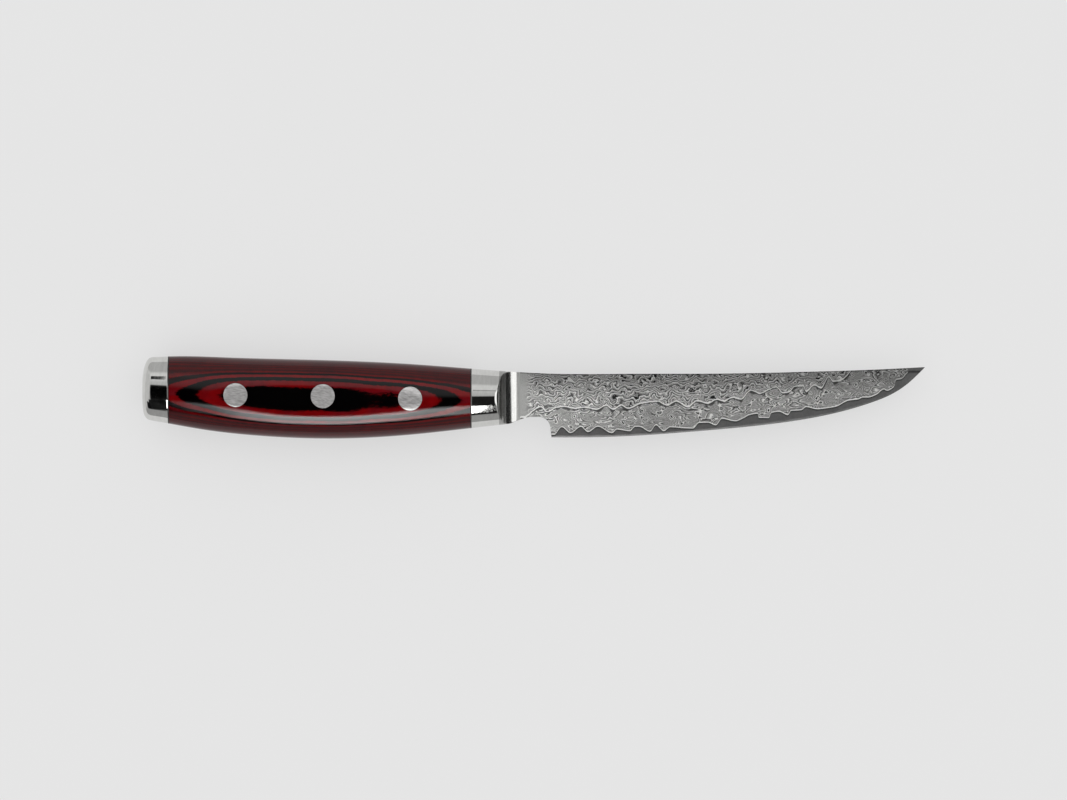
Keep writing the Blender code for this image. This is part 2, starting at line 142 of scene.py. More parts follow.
class WavyLine(SmoothLine):
    """A line that swings from crest to hollow and never beyond them, held past its ends."""

    def find_slopes(self, gaps: Array, rates: Array) -> Array:
        """Gives no slope to a crest or hollow, and the rates' harmonic mean to other points.

        Args:
            gaps: distances between neighbouring points.
            rates: slopes of the straight lines between them.

        Returns:
            The slope at each point.
        """
        before, after = rates[:-1], rates[1:]
        same_way = before * after > 0.0
        total = np.where(same_way, before + after, 1.0)
        inner = np.where(same_way, 2.0 * before * after / total, 0.0)
        return np.concatenate([rates[:1], inner, rates[-1:]])

    def __call__(self, x: Array) -> Array:
        """The height at each distance, held beyond the two ends."""
        return super().__call__(np.clip(x, self.at[0], self.at[-1]))


def eased(x: Array, start: float, end: float) -> Array:
    """How far x has come from start to end, 0 to 1, along 3s^2 - 2s^3."""
    share = np.clip((x - start) / (end - start), 0.0, 1.0)
    return share * share * (3.0 - 2.0 * share)


def shares(count: int) -> Array:
    """Evenly spaced shares from 0 to 1."""
    return np.linspace(0.0, 1.0, count)


def placed(start: float, length: float, points: Points) -> Points:
    """Points by their share of a length, as points by their distance."""
    return tuple((start + share * length, height) for share, height in points)


def softly_under(height: Array, limit: float, blend: float) -> Array:
    """The smaller of a height and a limit, with the corner rounded over about one blend."""
    return limit - blend * np.logaddexp(0.0, (limit - height) / blend)


def rounded_edge(distance: Array, radius: float) -> Array:
    """How far a quarter-round edge draws a surface in, at a distance from the edge's face."""
    left = np.clip(radius - distance, 0.0, radius)
    return radius - np.sqrt(radius**2 - left**2)


# Outlines, each as points of (share of a stretch of the knife, height over the axis).
CAP_TOP: Points = ((0.0, 9.6), (0.2, 11.6), (0.5, 12.3), (1.0, 12.45))
HANDLE_TOP: Points = ((0.2, 12.12), (0.45, 11.5), (0.8, 10.15), (1.0, 8.75))
BOLSTER_TOP: Points = ((0.8, 7.85),)
BLADE_TOP: Points = ((0.0, 7.2), (0.2, 7.15), (0.45, 7.22), (0.7, 7.82), (0.87, 8.45), (1.0, 9.2))
BUTT_BOTTOM: Points = ((0.0, -6.5),)
HANDLE_BOTTOM: Points = (
    (0.0, -7.9), (0.13, -9.95), (0.29, -11.55), (0.49, -12.45), (0.8, -11.3), (1.0, -9.3),
)
BOLSTER_BOTTOM: Points = ((1.0, -7.65),)
EDGE: Points = (
    (0.0, -12.1), (0.14, -11.98), (0.4, -10.15), (0.6, -7.9), (0.73, -5.5), (0.86, -1.45),
    (0.956, 4.3), (1.0, 9.05),
)


@dataclass
class KnifeForm:
    """The knife's outline and thickness, which follow its solids. Lengths in millimetres.

    A section of the handle is an oval over the tang: with c = (y - middle) / half depth, it is
    z = tang + (crown - tang) * (1 - |c|^power)^(1/2), under a flat land along the crown.
    """

    cap_front: float
    bolster_back: float
    bolster_front: float
    point: float
    place: Array = field(default_factory=lambda: np.zeros(3))
    gap: float = 0.02
    tail_length: float = 4.0
    tail_height: float = 9.0
    neck_length: float = 9.55
    neck_bottom: float = -5.9
    neck_rise: Pair = (-3.9, 3.6)
    choil_radius: float = 3.6
    heel_slant: float = 0.3
    handle_thickness: float = 16.6
    swell_start: float = 23.1
    swell_end: float = 29.8
    rear_crown_radius: float = 361.0
    front_crown_radius: float = 650.0
    full_power: float = 3.0
    fullness_rise: Pair = (8.0, 40.0)
    fullness_fall: Pair = (45.8, 4.7)
    land_depth: float = 0.15
    land_blend: float = 0.010
    stock: float = 2.0
    point_thickness: float = 0.4
    edge_thickness: float = 0.3
    grind_start: float = 12.5
    grind_end: float = 1.5

    @classmethod
    def from_solids(cls) -> "KnifeForm":
        """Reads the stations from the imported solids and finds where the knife's frame lies.

        Returns:
            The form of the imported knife.
        """
        low, high = (np.array(corner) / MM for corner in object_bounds())
        butt = low[0]
        form = cls(
            cap_front=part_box("end_cap")[1].x / MM - butt,
            bolster_back=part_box("bolster_right")[0].x / MM - butt,
            bolster_front=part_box("bolster_right")[1].x / MM - butt,
            point=high[0] - butt,
        )
        along = np.linspace(0.0, form.point, 4000)
        highest, lowest = form.top(along).max(), form.bottom(along).min()
        middle = (low + high) / 2.0
        form.place = np.array([butt, middle[1] - (highest + lowest) / 2.0, middle[2]])
        return form

    @property
    def heel(self) -> float:
        """Where the cutting edge starts."""
        return self.bolster_front + self.neck_length

    @property
    def land(self) -> float:
        """The height of the flat land along each crown."""
        return self.handle_thickness / 2.0 - self.land_depth

    @property
    def tail_middle(self) -> float:
        """The height of the tail's middle, in the cap."""
        return float(self.middle(np.array([self.cap_front]))[0])

    @cached_property
    def top(self) -> SmoothLine:
        """Joins the upper outline of handle and blade.

        Returns:
            The line from the butt to the point.
        """
        stretches = (
            (0.0, self.cap_front, CAP_TOP),
            (self.cap_front, self.bolster_back, HANDLE_TOP),
            (self.bolster_back, self.bolster_front, BOLSTER_TOP),
            (self.heel, self.point, BLADE_TOP),
        )
        return SmoothLine(sum((placed(a, b - a, points) for a, b, points in stretches), ()))

    @cached_property
    def belly(self) -> SmoothLine:
        """The lower outline of the handle, run on to the bolster's front."""
        handle = placed(self.cap_front, self.bolster_back - self.cap_front, HANDLE_BOTTOM)
        return SmoothLine(BUTT_BOTTOM + handle + placed(0.0, self.bolster_front, BOLSTER_BOTTOM))

    @cached_property
    def edge(self) -> SmoothLine:
        """The cutting edge, from the heel to the point."""
        return SmoothLine(placed(self.heel, self.point - self.heel, EDGE))

    def bottom(self, x: Array) -> Array:
        """The lower outline: belly, eased rise to the neck, quarter circle at the choil, edge.

        Args:
            x: distances from the butt.

        Returns:
            Heights over the axis.
        """
        arc_end = self.heel - self.heel_slant
        arc_start = arc_end - self.choil_radius
        rise = eased(x, *(self.bolster_front + part for part in self.neck_rise))
        belly = self.belly(np.minimum(x, self.bolster_front))
        neck = belly + (self.neck_bottom - belly) * rise
        run = np.clip(x - arc_start, 0.0, self.choil_radius)
        arc = self.neck_bottom - self.choil_radius + np.sqrt(self.choil_radius**2 - run**2)
        slant = np.clip((x - arc_end) / self.heel_slant, 0.0, 1.0)
        arc = arc + (self.edge(self.heel) - arc) * slant
        low = np.where(x > arc_start, arc, neck)
        return np.where(x >= self.heel, self.edge(np.maximum(x, self.heel)), low)

    def middle(self, x: Array) -> Array:
        """The height halfway between the upper and lower outline."""
        return (self.top(x) + self.bottom(x)) / 2.0

    def half_depth(self, x: Array) -> Array:
        """Half the height between the upper and lower outline."""
        return (self.top(x) - self.bottom(x)) / 2.0

    def crown(self, x: Array) -> Array:
        """Half the handle's thickness: level along the swell, an arc down at each end of it.

        Args:
            x: distances from the butt.

        Returns:
            Heights z of the crown.
        """
        behind = np.maximum(self.cap_front + self.swell_start - x, 0.0)
        ahead = np.maximum(x - (self.bolster_back - self.swell_end), 0.0)
        drop = behind**2 / (2.0 * self.rear_crown_radius) + ahead**2 / (2.0 * self.front_crown_radius)
        return self.handle_thickness / 2.0 - drop

    def power(self, x: Array) -> Array:
        """The oval's power: 2, an ellipse, at cap and bolster, and up to 3 in the hand.

        Args:
            x: distances from the butt.

        Returns:
            The power at each.
        """
        rise = eased(x, *(self.cap_front + part for part in self.fullness_rise))
        fall = eased(x, *(self.bolster_back - part for part in self.fullness_fall))
        return 2.0 + (self.full_power - 2.0) * rise * (1.0 - fall)

    def rise(self, x: Array, cosine: Array) -> Array:
        """How far the oval has risen from tang to crown: the root of 1 - |cosine|^power."""
        return np.sqrt(1.0 - np.minimum(np.abs(cosine), 1.0) ** self.power(x))

    def first_turn(self, x: Array, base: float) -> Array:
        """The turn at which the oval passes a base height: cos(turn)^power = 1 - share^2."""
        share = (base - self.stock / 2.0) / (self.crown(x) - self.stock / 2.0)
        return np.arccos((1.0 - share**2) ** (1.0 / self.power(x)))

    def skin_height(self, x: Array, y: Array, cut: bool = True) -> Array:
        """The height z of the handle's surface over a point of the middle plane.

        Args:
            x: distances from the butt.
            y: heights over the axis.
            cut: whether the flat land is cut.

        Returns:
            z of the oval there.
        """
        tang = self.stock / 2.0
        z = tang + (self.crown(x) - tang) * self.rise(x, (y - self.middle(x)) / self.half_depth(x))
        return softly_under(z, self.land, self.land_blend) if cut else z

    def oval(self, x: Array, turn: Array, inset: Array | float = 0.0) -> Array:
        """Points of the handle's oval, at y = middle + half depth * cos(turn).

        Args:
            x: distances from the butt.
            turn: angle round the oval, 0 at the spine and pi at the belly.
            inset: how far the skin lies inside the oval.

        Returns:
            An array of the same shape with x, y and z in its last axis.
        """
        x, turn = np.broadcast_arrays(x, turn)
        tang = self.stock / 2.0
        y = self.middle(x) + (self.half_depth(x) - inset) * np.cos(turn)
        z = tang + (self.crown(x) - inset - tang) * self.rise(x, np.cos(turn))
        return np.stack([x, y, softly_under(z, self.land, self.land_blend)], axis=-1)

    def arches(self, x: Array, base: float, turns: int) -> Array:
        """Arches of the oval over the tang.

        Args:
            x: the distance of each arch.
            base: the height z at which it starts and ends.
            turns: steps round it.

        Returns:
            Points as arches x turns x 3.
        """
        start = self.first_turn(x, base)[:, None]
        return self.oval(x[:, None], start + (np.pi - 2.0 * start) * shares(turns + 1))

    def spine_half(self, x: Array) -> Array:
        """Half the blade's thickness at its spine, which tapers evenly from bolster to point."""
        share = np.maximum(x - self.bolster_front, 0.0) / (self.point - self.bolster_front)
        return (self.stock + (self.point_thickness - self.stock) * share) / 2.0

    def blade_half(self, x: Array, y: Array) -> Array:
        """Half the blade's thickness: an even wedge from edge to spine, flat in the tang.

        Args:
            x: distances from the butt.
            y: heights over the axis.

        Returns:
            z of the ground surface.
        """
        low = self.edge(np.maximum(x, self.heel))
        share = (y - low) / np.maximum(self.top(x) - low, 1e-6)
        spine = self.spine_half(x)
        wedge = self.edge_thickness / 2.0 + (spine - self.edge_thickness / 2.0) * share
        ground = eased(x, self.bolster_front - self.grind_start, self.bolster_front - self.grind_end)
        return spine + (wedge - spine) * ground

    def world(self, points: Array) -> Array:
        """Points of the knife's frame in millimetres as metres of the shared frame."""
        return (points + self.place) * MM

    def local(self, piece: Piece) -> Array:
        """Reads a piece's points.

        Args:
            piece: a piece whose place is in its mesh.

        Returns:
            Its points in the knife's frame, in millimetres, points x 3.
        """
        flat = np.empty(len(piece.data.vertices) * 3, dtype=np.float32)
        piece.data.vertices.foreach_get("co", flat)
        return flat.reshape(-1, 3).astype(float) / MM - self.place


def lofted_faces(rings: int, count: int) -> list[tuple[int, ...]]:
    """Faces of a closed skin: quads between neighbouring rings, one polygon at each end.

    Args:
        rings: how many rings there are.
        count: points in each ring.

    Returns:
        Corner indices of every face.
    """
    grid = np.arange(rings * count).reshape(rings, count)
    after = np.roll(grid, -1, axis=1)
    quads = np.stack([grid[:-1], after[:-1], after[1:], grid[1:]], axis=-1).reshape(-1, 4)
    return [*map(tuple, quads.tolist()), tuple(grid[0][::-1].tolist()), tuple(grid[-1].tolist())]


def winds_outward(rings: Array) -> bool:
    """Whether a skin's faces point out: the sum of each ring's area vector times its step on.

    Args:
        rings: points as rings x points x 3.

    Returns:
        True where the sum, about four times the volume inside, is above 0.
    """
    centres = rings.mean(axis=1)
    spokes = rings - centres[:, None]
    area = np.cross(spokes, np.roll(spokes, -1, axis=1)).sum(axis=1)
    return float(np.sum((area[1:] + area[:-1]) * np.diff(centres, axis=0))) > 0.0


def put_in_scene(name: str, data: bpy.types.ID) -> Piece:
    """Makes an object and links it to the scene.

    Args:
        name: the object's name.
        data: its mesh, lamp or camera.

    Returns:
        The new object.
    """
    thing = bpy.data.objects.new(name, data)
    bpy.context.scene.collection.objects.link(thing)
    return thing


def skin(form: KnifeForm, name: str, rings: Array, side: Side = Side.RIGHT) -> Piece:
    """Makes a closed piece from rings of points, with its faces pointing out.

    Args:
        form: the knife's form, which knows where the knife lies.
        name: the piece's name.
        rings: points in millimetres, as rings x points x 3, for the right side.
        side: the side that it is made for.

    Returns:
        The new object, at the origin, with its place in its mesh.
    """
    rings = rings * (1.0, 1.0, side.value)
    faces = lofted_faces(*rings.shape[:2])
    if not winds_outward(rings):
        faces = [face[::-1] for face in faces]
    mesh = bpy.data.meshes.new(name)
    mesh.from_pydata(form.world(rings.reshape(-1, 3)).tolist(), [], faces)
    mesh.validate()
    return put_in_scene(name, mesh)


def hidden(cutter: Piece) -> Piece:
    """The same cutter, hidden from the render."""
    cutter.hide_render = True
    return cutter


def turned_rings(profile: Points, at: Pair, steps: int) -> Array:
    """Rings of a shape turned about z: each (radius, z) point swept once round its axis.

    Args:
        profile: (radius, z) points in millimetres, from one end to the other.
        at: x and y of the axis.
        steps: points in each ring.

    Returns:
        Points in millimetres, as rings x points x 3.
    """
    radius, z = np.array(profile, dtype=float).T
    turn = np.linspace(0.0, 2.0 * np.pi, steps, endpoint=False)
    x = at[0] + radius[:, None] * np.cos(turn)
    y = at[1] + radius[:, None] * np.sin(turn)
    return np.stack([x, y, np.broadcast_to(z[:, None], x.shape)], axis=-1)


def cut_away(piece: Piece, cutters: tuple[Piece, ...]) -> None:
    """Takes the cutters' space out of a piece and leaves a plain mesh.

    Args:
        piece: what is cut.
        cutters: closed shapes, which stay as they are.
    """
    for cutter in cutters:
        cut = piece.modifiers.new(cutter.name, "BOOLEAN")
        cut.operation = "DIFFERENCE"
        cut.solver = "EXACT"
        cut.object = cutter
    bpy.context.view_layer.update()
    graph = bpy.context.evaluated_depsgraph_get()
    cut_mesh = bpy.data.meshes.new_from_object(piece.evaluated_get(graph))
    piece.modifiers.clear()
    old, piece.data = piece.data, cut_mesh
    cut_mesh.name = piece.name
    bpy.data.meshes.remove(old)


def keep_value(piece: Piece, name: str, values: Array) -> None:
    """Stores a value for each point of a piece, for its material to read.

    Args:
        piece: the piece.
        name: the value's name.
        values: one number or one vector for each point.
    """
    kind, key = ("FLOAT", "value") if values.ndim == 1 else ("FLOAT_VECTOR", "vector")
    layer = piece.data.attributes.new(name, kind, "POINT")
    layer.data.foreach_set(key, values.astype(np.float32).ravel())


# ---- node trees ---------------------------------------------------------------------------------


class Tree:
    """Short calls for adding and wiring the nodes of one tree."""

    def __init__(self, tree: bpy.types.NodeTree) -> None:
        """Starts with none of its own nodes in the given tree."""
        self.tree, self.count = tree, 0

    def add(self, kind: str, inputs: dict | None = None, **settings: object) -> bpy.types.Node:
        """Adds a node, sets it up and fills its inputs.

        Args:
            kind: the node's type, without its ShaderNode prefix.
            inputs: numbers, vectors, colours or signals, by the input's name or place.
            settings: the node's own properties.

        Returns:
            The new node.
        """
        node = self.tree.nodes.new(kind if kind.startswith("Node") else "ShaderNode" + kind)
        node.location = (180.0 * (self.count % 8), -220.0 * (self.count // 8))
        self.count += 1
        for key, value in settings.items():
            setattr(node, key, value)
        self.fill(node, inputs or {})
        return node

    def fill(self, node: bpy.types.Node, inputs: dict) -> None:
        """Links or sets the inputs of a node.

        Args:
            node: the node.
            inputs: numbers, vectors, colours or signals, by the input's name or place.
        """
        for key, value in inputs.items():
            socket = node.inputs[key]
            if isinstance(value, Signal):
                self.tree.links.new(value.socket, socket)
            else:
                socket.default_value = (*value, 1.0) if socket.type == "RGBA" else value

    def signal(
        self, kind: str, inputs: dict | None = None, output: int | str = 0, **settings: object
    ) -> "Signal":
        """One output of a new node, the first if none is named."""
        return Signal(self, self.add(kind, inputs, **settings).outputs[output])


class Signal:
    """An output in a tree, to reckon with: each step adds the node that takes it."""

    def __init__(self, tree: Tree, socket: bpy.types.NodeSocket) -> None:
        """Keeps the output and its tree."""
        self.tree, self.socket = tree, socket

    def math(self, operation: str, *others: "Signal | float") -> "Signal":
        """A Math node's result, with this value first."""
        return self.tree.signal("Math", dict(enumerate((self, *others))), operation=operation)

    def vector(self, operation: str, other: "Signal | Triple") -> "Signal":
        """A Vector Math node's result, with this vector first."""
        return self.tree.signal("VectorMath", {0: self, 1: other}, operation=operation)

    def dimmed(self, share: "Signal") -> "Signal":
        """This colour or vector, scaled by a share."""
        return self.tree.signal("VectorMath", {0: self, 3: share}, operation="SCALE")

    def __add__(self, other: "Signal | float") -> "Signal":
        """The sum."""
        return self.math("ADD", other)

    def __sub__(self, other: "Signal | float") -> "Signal":
        """This less the other."""
        return self.math("SUBTRACT", other)

    def __rsub__(self, other: float) -> "Signal":
        """The other less this."""
        return self.tree.signal("Math", {0: other, 1: self}, operation="SUBTRACT")

    def __mul__(self, other: "Signal | float") -> "Signal":
        """The product."""
        return self.math("MULTIPLY", other)

    def __truediv__(self, other: "Signal | float") -> "Signal":
        """This over the other."""
        return self.math("DIVIDE", other)

    def __rtruediv__(self, other: float) -> "Signal":
        """The other over this."""
        return self.tree.signal("Math", {0: other, 1: self}, operation="DIVIDE")

    def __abs__(self) -> "Signal":
        """The value without its sign."""
        return self.math("ABSOLUTE")

    __rmul__ = __mul__

    def toward(self, goal: float, share: "Signal") -> "Signal":
        """This value moved towards a goal by a share of the way."""
        return share * (goal - self) + self

    def span(self, low: float, high: float, start: float = 0.0, end: float = 1.0) -> "Signal":
        """This value eased from one range to another, and held at the range's ends."""
        inputs = {"Value": self, "From Min": low, "From Max": high, "To Min": start, "To Max": end}
        return self.tree.signal("MapRange", inputs, interpolation_type="SMOOTHSTEP")

    def ramp(self, stops: tuple) -> "Signal":
        """Looks this value up on a ramp.

        Args:
            stops: (position, grey or colour) pairs in order.

        Returns:
            The looked-up colour.
        """
        node = self.tree.add("ValToRGB", {0: self})
        marks = node.color_ramp.elements
        while len(marks) < len(stops):
            marks.new(0.5)
        for mark, (position, colour) in zip(marks, stops):
            mark.position = position
            mark.color = (*colour, 1.0) if isinstance(colour, tuple) else (colour, colour, colour, 1.0)
        return Signal(self.tree, node.outputs[0])

    def blend(self, a: "Signal | Triple", b: "Signal | Triple") -> "Signal":
        """The first colour where this value is 0, the second where it is 1."""
        return self.tree.signal("Mix", {0: self, 6: a, 7: b}, output=2, data_type="RGBA")

    def parts(self) -> list["Signal"]:
        """The x, y and z of a vector."""
        return [Signal(self.tree, part) for part in self.tree.add("SeparateXYZ", {0: self}).outputs]

    def noise(
        self, by: "Signal | Triple" = (1.0, 1.0, 1.0), detail: float = 2.0, roughness: float = 0.5
    ) -> "Signal":
        """Noise from 0 to 1 over this vector, each part of it multiplied first."""
        inputs = {"Vector": self.vector("MULTIPLY", by), "Scale": 1.0}
        return self.tree.signal("TexNoise", inputs | {"Detail": detail, "Roughness": roughness})

    def relief(self, depth: float) -> "Signal":
        """A normal from this height of 0 to 1, which stands for a depth in millimetres."""
        return self.tree.signal("Bump", {"Height": self, "Distance": depth * MM, "Strength": 1.0})


@dataclass(frozen=True)
class Effect:
    """A node group that several finishes share: made once, and placed with its own values.

    Its wiring turns the signals of its inputs into those of its outputs, in their order.
    """

    name: str
    inputs: dict[str, float | Triple]
    outputs: tuple[str, ...]
    wiring: Callable[..., tuple[Signal, ...]]

    def group(self) -> bpy.types.NodeTree:
        """Finds the group, or makes it on its first use.

        Returns:
            The group.
        """
        if self.name in bpy.data.node_groups:
            return bpy.data.node_groups[self.name]
        group = bpy.data.node_groups.new(self.name, "ShaderNodeTree")
        for key, value in self.inputs.items():
            kind = "NodeSocketVector" if isinstance(value, tuple) else "NodeSocketFloat"
            group.interface.new_socket(key, in_out="INPUT", socket_type=kind).default_value = value
        for key in self.outputs:
            group.interface.new_socket(key, in_out="OUTPUT", socket_type="NodeSocketFloat")
        tree = Tree(group)
        source = tree.add("NodeGroupInput").outputs
        results = self.wiring(*(Signal(tree, source[key]) for key in self.inputs))
        tree.add("NodeGroupOutput", dict(zip(self.outputs, results)))
        return group

    def place(self, at: Signal, **values: float | Triple) -> tuple[Signal, ...]:
        """Places the group over coordinates in millimetres, and gives its outputs."""
        node = at.tree.add("Group", {"At": at} | values, node_tree=self.group())
        return tuple(Signal(at.tree, socket) for socket in node.outputs)


def hairlines(at: Signal, stretch: Signal) -> tuple[Signal, ...]:
    """Two crossing sets of hairlines, as noise that is stretched along them, and smudges.

    Args:
        at: coordinates in millimetres.
        stretch: scale of the hairlines along x, y and z, least along the hairs.

    Returns:
        Hairs and smudges, each from 0 to 1.
    """
    turned = at.tree.signal("VectorRotate", {"Vector": at, "Angle": 0.5}, rotation_type="Z_AXIS")
    first = at.noise(stretch, detail=4.0, roughness=0.65)
    second = turned.noise(stretch, detail=3.0, roughness=0.6)
    smudge = at.noise((0.25, 0.3, 0.3), detail=3.0)
    return (first * 0.65 + second * 0.35).span(0.3, 0.7), smudge.span(0.3, 0.72)


def clouds_of_two_sizes(at: Signal, size: Signal) -> tuple[Signal, ...]:
    """Soft clouds of two sizes, for uneven colour and gloss.

    Args:
        at: coordinates in millimetres.
        size: the larger clouds' size in millimetres.

    Returns:
        The clouds, from 0 to 1.
    """
    scale = 1.0 / size
    inputs = {"Vector": at, "Scale": scale, "Detail": 3.0, "Roughness": 0.55}
    coarse = at.tree.signal("TexNoise", inputs)
    inputs |= {"Scale": scale * 6.0, "Detail": 2.0, "Roughness": 0.5}
    return ((coarse * 0.7 + at.tree.signal("TexNoise", inputs) * 0.3).span(0.3, 0.7),)


ORIGIN: Triple = (0.0, 0.0, 0.0)
SCRATCH_INPUTS = {"At": ORIGIN, "Stretch": (1.0, 1.0, 1.0)}
SCRATCHES = Effect("fine_scratches", SCRATCH_INPUTS, ("Hairs", "Smudge"), hairlines)
MOTTLE = Effect("mottle", {"At": ORIGIN, "Size": 5.0}, ("Clouds",), clouds_of_two_sizes)


def seen_directly(tree: Tree) -> Signal:
    """Tells what is seen from what only lights.

    Args:
        tree: the tree that asks.

    Returns:
        1 for what the camera, a mirror or glass sees, 0 for light on its way to a matt surface.
    """
    path = tree.add("LightPath").outputs
    rays = [Signal(tree, path[f"Is {ray} Ray"]) for ray in ("Camera", "Glossy", "Transmission")]
    return (rays[0] + rays[1] + rays[2]).math("MINIMUM", 1.0)


# ---- finishes -----------------------------------------------------------------------------------


@dataclass(frozen=True)
class Finish:
    """What every finish shares: a material with one Principled shader. Sizes in millimetres."""

    name: str
    slot: str

    @cached_property
    def material(self) -> bpy.types.Material:
        """Makes the finish on its first use.

        Returns:
            The material, whose shader is fed by the finish's own wiring.
        """
        material = bpy.data.materials.new(self.name)
        material.use_nodes = True
        tree = Tree(material.node_tree)
        at = tree.signal("TexCoord", output="Object").vector("MULTIPLY", (1.0 / MM,) * 3)
        tree.fill(material.node_tree.nodes["Principled BSDF"], self.wire(at))
        return material

    def wire(self, at: Signal) -> dict[str, Signal | float]:
        """What feeds the shader's inputs, from Object coordinates in millimetres."""
        raise NotImplementedError


@dataclass(frozen=True)
class LaminateFinish(Finish):
    """Polished canvas laminate, whose plies lie parallel to the blade: colour goes by ply depth."""

    name: str = "canvas_laminate"
    slot: str = "laminate"
    black: Triple = (0.0004, 0.0002, 0.0003)
    brown: Triple = (0.032, 0.0024, 0.0030)
    red: Triple = (0.150, 0.0007, 0.0018)
    rose: Triple = (0.110, 0.0035, 0.0065)
    outer_ply: float = 8.225
    ply_pair: float = 0.492
    stripe: Points = ((0.0, 0.0), (0.05, 1.0), (0.47, 1.0), (0.53, 0.0))
    brown_depth: Pair = (7.5, 6.8)
    dull_depth: Pair = (6.9, 7.45)
    weave_pitch: float = 0.62
    weave_sway: float = 2.2
    weave_share: float = 0.020
    weave_depth: float = 0.007
    waviness: float = 0.050
    fray: float = 0.060
    refraction: float = 1.42

    def wire(self, at: Signal) -> dict[str, Signal | float]:
        """Plies by depth, frayed by noise and by the canvas weave.

        Args:
            at: coordinates in millimetres.

        Returns:
            What feeds the shader.
        """
        ply = at.tree.signal("Attribute", output="Fac", attribute_name="ply")
        rate, sway = 2.0 * math.pi / self.weave_pitch, at.noise((0.5, 0.5, 0.5)) * self.weave_sway
        warp, weft = ((part * rate + sway).math("SINE") for part in at.parts()[:2])
        weave = warp * weft
        slow = at.noise((0.09, 0.30, 0.30))
        quick = at.noise((0.9, 1.9, 1.9), detail=3.0, roughness=0.6)
        shift = (slow - 0.5) * (2.0 * self.waviness) + (quick - 0.5) * (2.0 * self.fray)
        depth = ply + (weave * self.weave_share + shift)

        count = (self.outer_ply - depth) / self.ply_pair
        dull = depth.span(*self.dull_depth, 0.45, 1.0) * (weave * 0.14 + 0.92)
        hue = slow.span(0.40, 0.62).blend(self.red, self.rose).dimmed(dull)
        between = depth.span(*self.brown_depth).blend(self.black, self.brown)
        striped = count.math("FRACT").ramp(self.stripe) * count.span(0.0, 0.02)
        (clouds,) = MOTTLE.place(at, Size=2.2)
        hairs, smudge = SCRATCHES.place(at, Stretch=(0.15, 2.2, 2.2))
        return {
            "Base Color": striped.blend(between, hue).dimmed(clouds * 0.35 + 0.82),
            "Roughness": hairs * 0.02 + 0.035 + smudge * 0.02,
            "Normal": (weave * 0.60 + quick * 0.25).relief(self.weave_depth),
            "IOR": self.refraction,
        }


